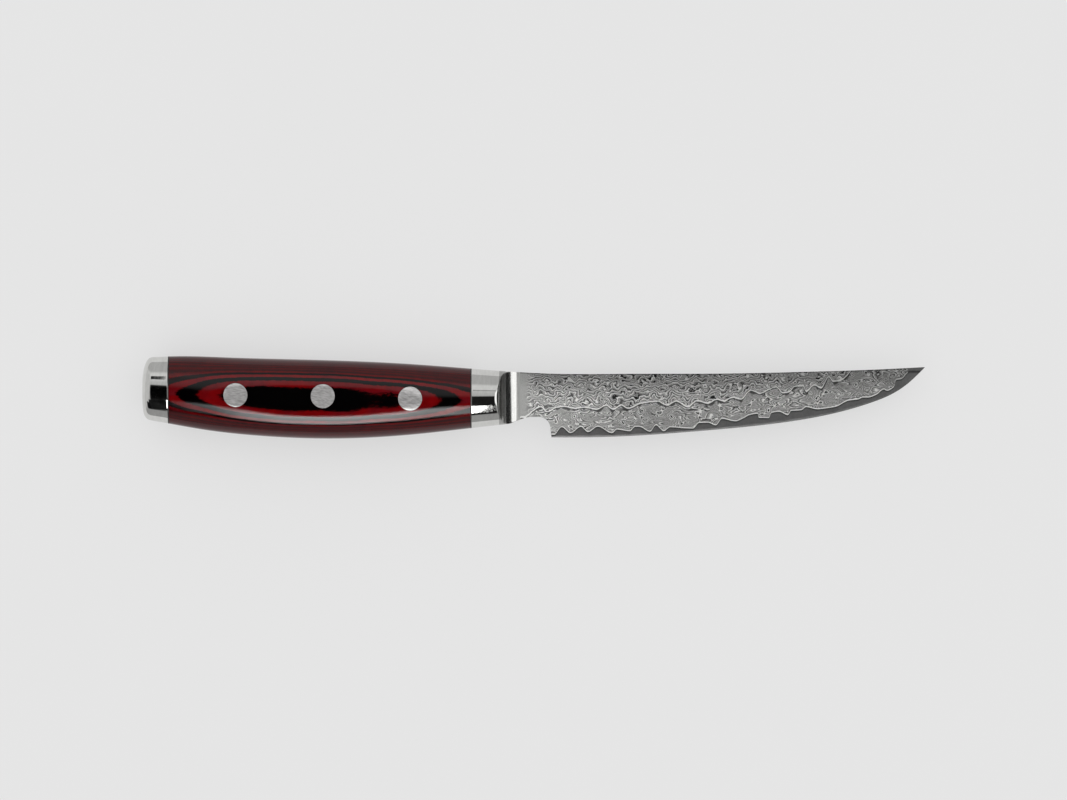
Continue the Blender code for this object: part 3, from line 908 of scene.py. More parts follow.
@dataclass(frozen=True)
class LayeredSteelFinish(Finish):
    """Etched cladding: contour lines of wavy layers, broad by the core and fine by the spine.

    A wave is given as its scales along and across, its detail and its size.
    """

    name: str = "etched_layers"
    slot: str = "layered_steel"
    trough: Triple = (0.020, 0.020, 0.020)
    ground: Triple = (0.262, 0.262, 0.256)
    crest: Triple = (0.95, 0.95, 0.93)
    palest: Triple = (0.97, 0.97, 0.95)
    ridge: Points = (
        (0.0, 0.50), (0.15, 1.0), (0.31, 0.5), (0.46, 0.0), (0.63, 0.45), (0.80, 0.56), (1.0, 0.5),
    )
    layer_waves: tuple = ((0.15, 0.26, 1.0, 3.4), (0.42, 0.34, 0.0, 3.4), (1.1, 1.4, 0.0, 0.8))
    grain_waves: tuple = ((2.4, 6.5, 2.0, 0.22), (9.0, 9.0, 0.0, 0.08))
    line_waves: tuple = ((0.9, 1.3, 0.0, 0.25),)
    pitch: float = 1.08
    brightest: float = 0.88
    outline: float = 0.34
    etch_depth: float = 0.010
    # Painted shading of the blade: darker towards the spine, paler at the neck and low on the blade near
    # the bolster.
    painted_spine_shade: float = 0.60
    painted_neck_light: float = 1.25
    neck_start: float = 0.0
    neck_length: float = 5.0
    painted_light_stretch: Pair = (6.0, 38.0)
    scratches: Triple = (0.5, 6.0, 6.0)

    def swing(self, place: Signal, waves: tuple) -> Signal:
        """The sum of some waves, each a noise about 0."""
        noises = [(place.noise((*by, 1.0), detail) - 0.5) * size for *by, detail, size in waves]
        return sum(noises[1:], noises[0])

    def ridges(self, height: Signal, shown: Signal | float) -> Signal:
        """A bright crest with a dark trough beside it once in each unit of height, about 0."""
        return (height.math("FRACT").ramp(self.ridge) - 0.5) * shown

    def pattern(self, place: Signal, over_layer: Signal, patches: Signal, neck: Signal) -> Signal:
        """The layers above the layer line, and the curls and eyes below it.

        Args:
            place: distance along the blade and height.
            over_layer: height over the layer line.
            patches: where the pattern is strong and where it is faint.
            neck: 0 where the neck begins and 1 beyond it.

        Returns:
            The tone, 0.5 where the surface is plain.
        """
        spots = place.noise((0.34, 0.52, 1.0), detail=0.0)
        waves = self.swing(place, self.layer_waves) + spots.span(0.56, 0.78, 0.0, 2.6)
        layers = over_layer * (1.0 / self.pitch) + waves
        main = self.ridges(layers, patches.span(0.34, 0.56, 0.75, 1.55))
        faint = self.ridges(layers * 2.6 + 0.35, patches.span(0.38, 0.62, 0.32, 0.85))
        upper = (main + faint) * neck

        curls = place.noise((0.23, 0.46, 1.0), detail=0.6)
        eyes = self.ridges(spots * 10.0, spots.span(0.56, 0.61, 0.0, 1.3))
        marks = self.ridges(curls * 10.0, patches.span(0.46, 0.58, 0.16, 1.15))
        lower = eyes + marks + self.ridges(layers * 2.3, 0.32) + 0.02
        above = over_layer.span(-0.08, 0.10)
        tone = lower * (1.0 - above) + (upper * above + 0.5)
        return (tone + self.swing(place, self.grain_waves)).math("MINIMUM", self.brightest)

    def wire(self, at: Signal) -> dict[str, Signal | float]:
        """The pattern with its two main lines, under painted light that is paler by the neck and painted
        shade that is darker by the spine.

        Args:
            at: coordinates in millimetres.

        Returns:
            What feeds the shader.
        """
        tree, line_width = at.tree, self.outline
        flow = tree.signal("Attribute", output="Vector", attribute_name="flow")
        along, over_core, over_layer = flow.parts()
        ahead, height, _ = at.parts()
        place = tree.signal("CombineXYZ", {0: along, 1: height})
        patches = place.noise((0.16, 0.42, 1.0))
        neck = ahead.span(self.neck_start + 1.0, self.neck_start + self.neck_length)
        tone = self.pattern(place, over_layer, patches, neck)

        line = over_layer + self.swing(place, self.line_waves)
        bright = abs(line).span(line_width * 0.3, line_width * 0.75, 1.0, 0.0)
        gap = place.noise((0.5, 0.05, 1.0)).span(0.46, 0.64, 0.14, 0.95)
        dark = abs((line + line_width * 1.25) / gap).span(0.35, 1.1, 1.0, 0.0)
        beside = abs(over_core - 0.62).span(0.0, 0.3, 1.0, 0.0) * patches.span(0.42, 0.6, 0.0, 0.55)
        rim = over_core.span(line_width * 0.55, line_width * 1.15, 1.0, 0.0)
        for goal, share in ((0.06, dark * 0.9), (0.92, bright), (0.2, beside), (1.0, rim)):
            tone = tone.toward(goal, share)
        tone = ahead.span(self.neck_start - 1.5, self.neck_start - 0.5) * (tone - 0.5)
        tone = tone.math("ADD", 0.5)

        # Painted light and shade: darker towards the spine, paler at the neck and low on the blade near
        # the bolster; the below_spine factor darkens the half millimetre under the spine.
        painted_shading = height.span(-1.0, 7.0, 1.0, self.painted_spine_shade).toward(self.painted_neck_light, 1.0 - neck)
        near = ahead.span(*(self.neck_start + part for part in self.painted_light_stretch), 1.0, 0.0)
        painted_shading = painted_shading * (near * height.span(2.0, 6.5, 0.34, 0.04) + 1.0)
        below_spine = tree.signal("Attribute", output="Fac", attribute_name="below_spine")
        painted_shading = painted_shading * below_spine.span(0.15, 0.55, 0.55, 1.0)
        colour = tone.ramp(((0.0, self.trough), (0.5, self.ground), (1.0, self.crest)))
        hairs, _ = SCRATCHES.place(at, Stretch=self.scratches)
        return {
            "Base Color": colour.dimmed(painted_shading).vector("MINIMUM", self.palest),
            "Roughness": tone * -0.10 + 0.44 + hairs * 0.06,
            "Normal": tone.relief(self.etch_depth),
            "Metallic": 1.0,
        }


@dataclass(frozen=True)
class CoreSteelFinish(Finish):
    """Satin core steel: fine grinding lines across the blade, and a painted shadow beside the cladding.
    """

    name: str = "satin_core"
    slot: str = "core_steel"
    colour: Triple = (0.118, 0.118, 0.117)
    shadow: Triple = (0.045, 0.045, 0.045)
    shadow_width: float = 0.45
    scratches: Triple = (9.0, 0.7, 0.7)

    def wire(self, at: Signal) -> dict[str, Signal | float]:
        """Grinding lines, and the distance under the cladding.

        Args:
            at: coordinates in millimetres.

        Returns:
            What feeds the shader.
        """
        flow = at.tree.signal("Attribute", output="Vector", attribute_name="flow")
        over_core = flow.parts()[1]
        hairs, _ = SCRATCHES.place(at, Stretch=self.scratches)
        (clouds,) = MOTTLE.place(at, Size=4.0)
        # Painted shadow just under the cladding's line, faded out above it.
        near = over_core.span(-self.shadow_width * 1.6, -0.05) * over_core.span(0.1, 0.4, 1.0, 0.0)
        tone = hairs * 0.30 + 0.78 + clouds * 0.22
        return {
            "Base Color": near.blend(self.colour, self.shadow).dimmed(tone),
            "Roughness": hairs * 0.12 + 0.36,
            "Normal": hairs.relief(0.002),
            "Metallic": 1.0,
        }


@dataclass(frozen=True)
class PolishedSteelFinish(Finish):
    """Polished steel, whose colour and gloss vary a little along hairlines and smudges.

    Where the bolster's scoop starts, a painted shadow darkens it. Towards sanded_end, where the bolster
    runs out on the blade, the polish turns satin.
    """

    name: str = "mirror_steel"
    slot: str = "polished_steel"
    colour: Triple = (0.72, 0.72, 0.70)
    scratches: Triple = (1.6, 0.25, 0.25)
    roughness: float = 0.03
    spread: float = 0.03
    hair_depth: float = 0.0003
    contrast: float = 0.10
    metallic: float = 1.0
    sanded_end: float = 1000.0
    sanded_length: float = 1.1
    sanded_roughness: float = 0.30
    scoop_length: float = 6.0
    scoop_roughness: float = 0.12
    # Depth of the painted shadow in the concave corner where the scoop starts.
    scoop_shadow: float = 0.45

    def wire(self, at: Signal) -> dict[str, Signal | float]:
        """Hairlines, smudges and clouds, and the two places that differ.

        Args:
            at: coordinates in millimetres.

        Returns:
            What feeds the shader.
        """
        hairs, smudge = SCRATCHES.place(at, Stretch=self.scratches)
        (clouds,) = MOTTLE.place(at, Size=3.0)
        along = at.parts()[0]
        brink, start = self.sanded_end - self.sanded_length, self.sanded_end - self.scoop_length
        # Painted shadow in the concave corner where the scoop starts.
        shadow = along.span(start - 0.35, start - 0.2) * along.span(start + 1.4, start + 2.0, 1.0, 0.0)
        tone = hairs * self.contrast + (0.97 - self.contrast) + clouds * 0.05
        tone = tone * along.span(brink - 0.1, brink + 0.1, 1.0, 0.6)
        tone = tone * (shadow * -self.scoop_shadow + 1.0)
        gloss = hairs * self.spread + self.roughness + smudge * (self.spread * 0.5)
        sanded = along.span(brink, self.sanded_end, 0.0, self.sanded_roughness)
        sanded = sanded + along.span(start - 0.5, start + 0.5, 0.0, self.scoop_roughness)
        return {
            "Base Color": tone.ramp(((0.0, (0.0, 0.0, 0.0)), (1.0, self.colour))),
            "Roughness": gloss + sanded,
            "Normal": hairs.relief(self.hair_depth),
            "Metallic": self.metallic,
        }


@dataclass(frozen=True)
class RivetSteelFinish(PolishedSteelFinish):
    """The rivets' steel: paler and duller, with coarser hairlines across the knife."""

    name: str = "fine_brushed_steel"
    slot: str = "rivet_steel"
    colour: Triple = (0.86, 0.845, 0.835)
    scratches: Triple = (0.5, 2.4, 2.4)
    roughness: float = 0.20
    spread: float = 0.05
    hair_depth: float = 0.0008
    contrast: float = 0.50
    metallic: float = 0.62


@dataclass(frozen=True)
class AdhesiveFinish(Finish):
    """Dark cured adhesive with a slightly grainy surface."""

    name: str = "dark_adhesive"
    slot: str = "adhesive"
    colour: Triple = (0.010, 0.008, 0.008)
    paler: float = 2.2

    def wire(self, at: Signal) -> dict[str, Signal | float]:
        """Clouds of two sizes.

        Args:
            at: coordinates in millimetres.

        Returns:
            What feeds the shader.
        """
        (clouds,) = MOTTLE.place(at, Size=1.2)
        return {
            "Base Color": clouds.blend(self.colour, tuple(self.paler * part for part in self.colour)),
            "Roughness": clouds * 0.2 + 0.42,
            "Normal": clouds.relief(0.01),
        }


@dataclass(frozen=True)
class FloorFinish(Finish):
    """A pale matt floor whose colour varies a very little.

    What the camera and mirrors see of it is part plain backdrop, so that its shadow stays faint.
    """

    name: str = "pale_floor"
    slot: str = ""
    colour: float = 0.80
    variation: float = 0.004
    backdrop: float = 0.787
    backdrop_share: float = 0.68

    def wire(self, at: Signal) -> dict[str, Signal | float]:
        """Soft clouds, and the light of the backdrop.

        Args:
            at: coordinates in millimetres.

        Returns:
            What feeds the shader.
        """
        (clouds,) = MOTTLE.place(at, Size=60.0)
        grey = clouds.span(0.0, 1.0, self.colour - self.variation, self.colour + self.variation)
        share = seen_directly(at.tree) * self.backdrop_share
        return {
            "Base Color": grey * (1.0 - share),
            "Emission Color": share * self.backdrop,
            "Emission Strength": 1.0,
            "Roughness": 0.9,
            "Specular IOR Level": 0.0,
        }


# ---- the knife's pieces -------------------------------------------------------------------------


@dataclass
class Part:
    """What every part shares: the form that it follows and the finish that it wears."""

    form: KnifeForm
    finish: Finish

    def dress(
        self, piece: Piece, node: str, cutters: tuple[Piece, ...] = (), finish: Finish | None = None
    ) -> None:
        """Cuts and shades a piece, gives it its finish, and has it ride and stand for its solid.

        Args:
            piece: the raw piece.
            node: the name of its solid.
            cutters: what is cut out of it.
            finish: its finish, where it isn't the part's own.
        """
        finish = finish or self.finish
        if cutters:
            cut_away(piece, cutters)
        piece.data.shade_smooth()
        piece.data.set_sharp_from_angle(angle=CREASE_ANGLE)
        piece.data.materials.clear()
        piece.data.materials.append(finish.material)
        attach(piece, "root")
        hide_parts(node)
        LOG.info("%s: %d faces", piece.name, len(piece.data.polygons))


@dataclass
class EndCap(Part):
    """The polished cap: ovals drawn in towards a flat butt, with a fine round at its front."""

    round_length: float = 3.5
    butt_share: float = 0.42
    front_round: float = 0.16
    steps: int = 110

    def build(self) -> None:
        """Each section is the oval drawn in by (1 - (1 - x/L)^4)^(1/4), L the round's length."""
        form = self.form
        first = self.round_length * (1.0 - (1.0 - self.butt_share**4) ** 0.25)
        x_round = first + (self.round_length - first) * shares(34) ** 2
        drawn = (1.0 - (1.0 - x_round / self.round_length) ** 4) ** 0.25
        butt = np.linspace(0.02, self.butt_share, 10)[:-1]
        bow = self.front_round * np.linspace(1.0, 0.0, 8) ** 2
        straight = np.linspace(self.round_length - first, form.cap_front - self.front_round, 16)[1:-1]
        x = np.concatenate([np.zeros(len(butt)), x_round - first, straight, form.cap_front - bow])
        drawn = np.concatenate([butt, drawn, np.ones(len(straight) + len(bow))])[:, None]
        inset = rounded_edge(form.cap_front - x, self.front_round)[:, None]
        half = form.oval(x[:, None], np.pi * shares(self.steps + 1), inset)
        whole = np.concatenate([half, half[:, ::-1] * (1.0, 1.0, -1.0)], axis=1)
        middle = form.middle(x)[:, None]
        whole[..., 1] = middle + (whole[..., 1] - middle) * drawn
        whole[..., 2] *= drawn
        cap, slot = skin(form, "cap", whole), self.slot_cutter()
        self.dress(cap, "end_cap", (slot,))
        bpy.data.objects.remove(slot)

    def slot_cutter(self) -> Piece:
        """Makes the space of the tang's tail, with its gap, open to the cap's front.

        Returns:
            A block, hidden from the render.
        """
        form = self.form
        half, wide = form.tail_height / 2.0 + form.gap, form.stock / 2.0 + form.gap
        rings = np.empty((2, 4, 3))
        ends = (form.cap_front - form.tail_length - form.gap, form.cap_front + 1.0)
        rings[..., 0] = np.array(ends)[:, None]
        rings[..., 1] = form.tail_middle + np.array([-half, half, half, -half])
        rings[..., 2] = np.array([-wide, -wide, wide, wide])
        return hidden(skin(form, "tail_space", rings))


@dataclass
class Bolster(Part):
    """One half of the bolster: the oval, with a scoop whose axis lies across the blade."""

    side: Side = Side.RIGHT
    scoop_radius: float = 6.3
    lip: float = 0.15
    back_round: float = 0.16
    crease_round: Pair = (0.3, 1.7)
    crease_power: int = 8
    least_drop: float = 0.03
    rounds: int = 12
    turns: int = 120
    inner_steps: int = 8

    def scoop_floor(self, x: Array, y: Array) -> Array:
        """The scoop's lowest height, a lip over the blade."""
        return self.form.blade_half(x, y) + self.form.gap + self.lip

    def outer(self) -> Array:
        """The outer skin. At each turn it runs level from the back, round a fillet, down the scoop.

        The fillet's centre lies one radius under the skin and one fillet beyond the scoop's
        circle: ahead = sqrt((R + r)^2 - (T - r - C)^2), where T is the skin's height, C the height
        of the scoop's centre, R its radius and r the fillet's, which is largest on the crown.

        Returns:
            Points as stations x turns x 3.
        """
        form, big = self.form, self.scoop_radius
        front, back = form.bolster_front, form.bolster_back
        start = form.first_turn(np.array(front), form.stock / 2.0 + 2.0 * form.gap)
        turn = np.linspace(start, np.pi - start, self.turns + 1)
        small = self.crease_round[0] + np.ptp(self.crease_round) * np.sin(turn) ** self.crease_power
        crease = np.full_like(turn, front - big)
        for _ in range(self.rounds):
            at = form.oval(crease, turn)
            floor = np.minimum(self.scoop_floor(crease, at[:, 1]), at[:, 2] - self.least_drop)
            down = at[:, 2] - small - (floor + big)
            crease = front - np.sqrt((big + small) ** 2 - down**2)
        near = back + self.back_round * shares(7)[:, None] ** 2
        rest = 1.0 - (1.0 - shares(30)[1:, None]) ** 1.6
        x_level = np.concatenate([near + 0.0 * crease, near[-1] + (crease - near[-1]) * rest])
        level = form.oval(x_level, turn, rounded_edge(x_level - back, self.back_round))

        lean = np.arctan2(front - crease, -down)
        swing = lean * shares(9)[1:, None]
        x_fillet = crease + small * np.sin(swing)
        z_fillet = at[:, 2] - small + small * np.cos(swing)
        fall = shares(46)[1:, None]
        angle = lean * (1.0 - fall)
        x_scoop = front - big * np.sin(angle)
        z_scoop = floor + big - big * np.cos(angle)
        x_rest, z_rest = np.concatenate([x_fillet, x_scoop]), np.concatenate([z_fillet, z_scoop])
        y_rest = form.middle(x_rest) + form.half_depth(x_rest) * np.cos(turn)
        z_rest[len(x_fillet) :] += (self.scoop_floor(x_scoop, y_rest[len(x_fillet) :]) - floor) * fall
        return np.concatenate([level, np.stack([x_rest, y_rest, z_rest], axis=-1)])

    def build(self) -> None:
        """Closes the outer skin with an inner one that follows the ground blade."""
        form, outer = self.form, self.outer()
        share = np.linspace(1.0, 0.0, self.inner_steps + 1)
        x, y = (outer[:, -1, i, None] * share + outer[:, 0, i, None] * (1.0 - share) for i in (0, 1))
        inner = np.stack([x, y, form.blade_half(x, y) + form.gap], axis=-1)
        rings, name = np.concatenate([outer, inner], axis=1), f"bolster_{self.side.label}"
        self.dress(skin(form, f"{name}_half", rings, self.side), name)


@dataclass
class Scale(Part):
    """One laminate scale: the oval over a flat inner face.

    That face lies at z = base, a gap over the adhesive. The plies aren't quite flat: a bump has
    its distance ahead of its station, its height and its width.
    """

    side: Side = Side.RIGHT
    inset: float = 0.29
    base: float = 1.19
    rear_bump: Triple = (9.0, 0.055, 4.5)
    front_bumps: tuple[Triple, ...] = ((-29.4, 0.068, 5.0), (-2.0, 0.050, 3.5))
    droop: Pair = (1.45, 12.0)
    dish_middle: float = 54.0
    dish: Pair = (0.0012, 1.0e-5)
    dish_above: float = 0.5
    near_skin: float = 0.03
    stations: int = 200
    turns: int = 110

    def build(self, holes: tuple[Piece, ...]) -> None:
        """Lofts the oval between its two inset ends, drills it, and marks each point's ply.

        A point's ply is its height in the stack, as it was before the land was cut.

        Args:
            holes: the rivets' spaces.
        """
        form, name = self.form, f"scale_{self.side.label}"
        x = np.linspace(form.cap_front + self.inset, form.bolster_back - self.inset, self.stations + 1)
        scale = skin(form, f"{name}_laminate", form.arches(x, self.base, self.turns), self.side)
        self.dress(scale, name, holes)
        x, y, z = form.local(scale).T
        height, raw = np.abs(z), form.skin_height(x, self.drooped(x, y), cut=False)
        on_skin = np.abs(height - form.skin_height(x, y)) < self.near_skin
        keep_value(scale, "ply", np.where(on_skin, raw - self.figure(x, y), height))

    def drooped(self, x: Array, y: Array) -> Array:
        """Raises heights where the plies droop: most at the cap, and none at an edge.

        With c the share of the way from the middle to an edge, the droop is
        size * exp(-((x - cap) / length)^2) * (1 - c^2)^2.

        Args:
            x: distances from the butt.
            y: heights over the axis.

        Returns:
            The heights at which the straight plies would be the same.
        """
        size, length = self.droop
        share = np.minimum(np.abs(y - self.form.middle(x)) / self.form.half_depth(x), 1.0)
        return y + size * np.exp(-(((x - self.form.cap_front) / length) ** 2)) * (1.0 - share**2) ** 2

    def figure(self, x: Array, y: Array) -> Array:
        """How far the plies rise: bumps exp(-((x - centre) / width)^2) less a dish along the axis.

        The dish is (a + b * (x - middle)^2) * y^2, and half of that above the axis.

        Args:
            x: distances from the butt.
            y: heights over the axis.

        Returns:
            The rise in millimetres.
        """
        bumps = [(self.form.cap_front, *self.rear_bump)]
        bumps += [(self.form.bolster_back, *bump) for bump in self.front_bumps]
        rise = 0.0
        for station, ahead, height, width in bumps:
            rise = rise + height * np.exp(-(((x - station - ahead) / width) ** 2))
        dish = self.dish[0] + self.dish[1] * (x - self.dish_middle) ** 2
        return rise - dish * np.where(y < 0.0, 1.0, self.dish_above) * y**2


@dataclass
class AdhesiveFilm(Part):
    """The film under one scale, with a lip up to the oval at cap and bolster."""

    side: Side = Side.RIGHT
    film: float = 0.15
    lip: float = 0.25
    nudge: float = 0.002
    turns: int = 110

    def build(self, holes: tuple[Piece, ...]) -> None:
        """Ovals over the tang, limited to the bed's height but for the two lips.

        Args:
            holes: the rivets' spaces.
        """
        form, name = self.form, f"adhesive_{self.side.label}"
        base = form.stock / 2.0 + form.gap
        rear, front = form.cap_front + form.gap, form.bolster_back - form.gap
        bed = np.linspace(rear + self.lip, front - self.lip, 90)
        x = np.concatenate([[rear, bed[0] - self.nudge], bed, [bed[-1] + self.nudge, front]])
        limit = np.full(len(x), base + self.film)
        limit[[0, 1, -2, -1]] = form.land
        rings = form.arches(x, base, self.turns)
        rings[..., 2] = np.minimum(rings[..., 2], limit[:, None])
        self.dress(skin(form, f"{name}_film", rings, self.side), name, holes)


@dataclass
class Rivets(Part):
    """Three two-part rivets, each with a head ground to the crown of its scale.

    Each flat end closes in a last ring, whose radius is the innermost one.
    """

    first: float = 20.5
    pitch: float = 26.4
    heights: Triple = (0.7, 0.4, -0.35)
    names: tuple[str, str, str] = ("rear", "middle", "front")
    head: float = 7.25
    head_depth: float = 2.2
    tube: float = 5.0
    pin: float = 3.0
    tube_reach: float = 3.5
    pin_reach: float = 4.0
    pin_clearance: float = 0.06
    tube_clearance: float = 0.1
    head_clearance: float = 0.05
    rim_round: float = 0.10
    innermost: float = 0.04
    steps: int = 96

    @property
    def places(self) -> list[tuple[str, Pair]]:
        """Each rivet's name and the x and y of its axis."""
        at = self.form.cap_front + self.first + self.pitch * np.arange(3)
        return [(name, (float(x), y)) for name, x, y in zip(self.names, at, self.heights)]

    def holes(self) -> tuple[Piece, ...]:
        """What each rivet needs clear: a hole right through, with a counterbore at each side.

        Returns:
            One cutter for each rivet, hidden from the render.
        """
        outside = self.form.handle_thickness / 2.0 + 2.0
        seat = self.form.handle_thickness / 2.0 - self.head_depth - self.form.gap
        wide, shank = self.head / 2.0 + self.head_clearance, self.tube / 2.0 + self.tube_clearance
        upper = ((wide, outside), (wide, seat), (shank, seat))
        profile = upper + tuple((radius, -z) for radius, z in reversed(upper))
        spaces = ((name, turned_rings(profile, at, self.steps)) for name, at in self.places)
        return tuple(hidden(skin(self.form, f"{name}_rivet_space", rings)) for name, rings in spaces)

    def head_rings(self, at: Pair) -> Array:
        """Rings of a head's top: the handle's own surface, rolled off over the rim's round.

        Args:
            at: x and y of the rivet's axis.

        Returns:
            Points as rings x points x 3.
        """
        radius = self.head / 2.0
        inner = np.linspace(self.innermost, radius - self.rim_round, 16)
        rim = radius - self.rim_round * np.linspace(1.0, 0.0, 8)[1:] ** 1.5
        distance = np.concatenate([inner, rim])
        rings = turned_rings(np.stack([distance, 0.0 * distance], axis=-1), at, self.steps)
        rolled = rounded_edge(radius - distance[:, None], self.rim_round)
        rings[..., 2] = self.form.skin_height(rings[..., 0], rings[..., 1]) - rolled
        return rings

    def build(self) -> None:
        """Makes the six halves: heads with pins on the right, heads with tubes on the left."""
        seat = self.form.handle_thickness / 2.0 - self.head_depth
        wide, pin, tube = self.head / 2.0, self.pin / 2.0, self.tube / 2.0
        bore, floor = pin + self.pin_clearance, self.pin_reach + self.tube_clearance
        male = ((wide, seat), (pin, seat), (pin, -self.pin_reach), (self.innermost, -self.pin_reach))
        female = ((wide, seat), (tube, seat), (tube, -self.tube_reach), (bore, -self.tube_reach))
        female += ((bore, floor), (self.innermost, floor))
        for name, at in self.places:
            for kind, profile, side in (("male", male, Side.RIGHT), ("female", female, Side.LEFT)):
                rings = np.concatenate([self.head_rings(at), turned_rings(profile, at, self.steps)])
                half = skin(self.form, f"{name}_rivet_{side.label}", rings, side)
                self.dress(half, f"rivet_{name}_{kind}")


CORE_LINE: Points = (
    (125.0, -11.3), (127.1, -9.0), (129.7, -10.8), (132.9, -8.9), (135.0, -10.5), (138.0, -8.85),
    (142.3, -10.8), (143.8, -9.7), (147.7, -10.2), (149.3, -8.85), (150.5, -8.85), (153.8, -10.35),
    (155.6, -8.4), (158.0, -10.2), (159.9, -9.0), (164.1, -9.3), (166.8, -9.4), (168.7, -7.7),
    (171.4, -7.6), (173.7, -8.45), (175.6, -6.45), (179.6, -7.2), (182.3, -6.2), (183.8, -5.35),
    (186.5, -4.9), (186.8, -6.15), (189.8, -6.2), (190.5, -4.7), (192.9, -4.3), (195.6, -5.35),
    (196.5, -4.05), (199.6, -3.85), (201.1, -2.9), (204.4, -3.55), (208.0, -3.15), (210.2, -2.75),
    (213.9, -0.95), (217.1, -0.5), (218.2, 0.0), (219.8, 0.0), (222.3, 0.8), (224.7, 2.45),
    (225.6, 2.05), (227.7, 3.2), (228.3, 5.3), (229.9, 5.6), (231.5, 7.15), (232.3, 7.85),
)
LAYER_LINE: Points = (
    (115.9, -6.05), (120.8, -2.8), (122.6, -4.3), (125.6, -2.9), (127.7, -2.7), (131.1, -3.25),
    (133.8, -2.9), (137.7, -3.55), (140.5, -2.3), (142.6, -3.55), (145.0, -2.25), (147.1, -3.25),
    (151.4, -1.6), (156.2, -1.1), (158.9, -2.3), (161.7, -1.1), (165.3, -2.8), (168.0, -1.0),
    (171.4, -1.7), (174.1, -0.5), (176.2, -1.1), (178.7, 0.1), (181.4, -0.5), (183.5, 1.75),
    (184.4, 2.25), (187.1, 1.3), (189.9, 2.55), (192.0, 3.25), (194.1, 1.45), (195.9, 1.7),
    (197.7, 3.45), (200.2, 3.6), (201.1, 1.75), (203.5, 3.85), (205.6, 2.9), (208.0, 6.3),
    (209.3, 4.95), (211.4, 5.15), (213.2, 6.45), (216.0, 9.6), (220.0, 12.0),
)


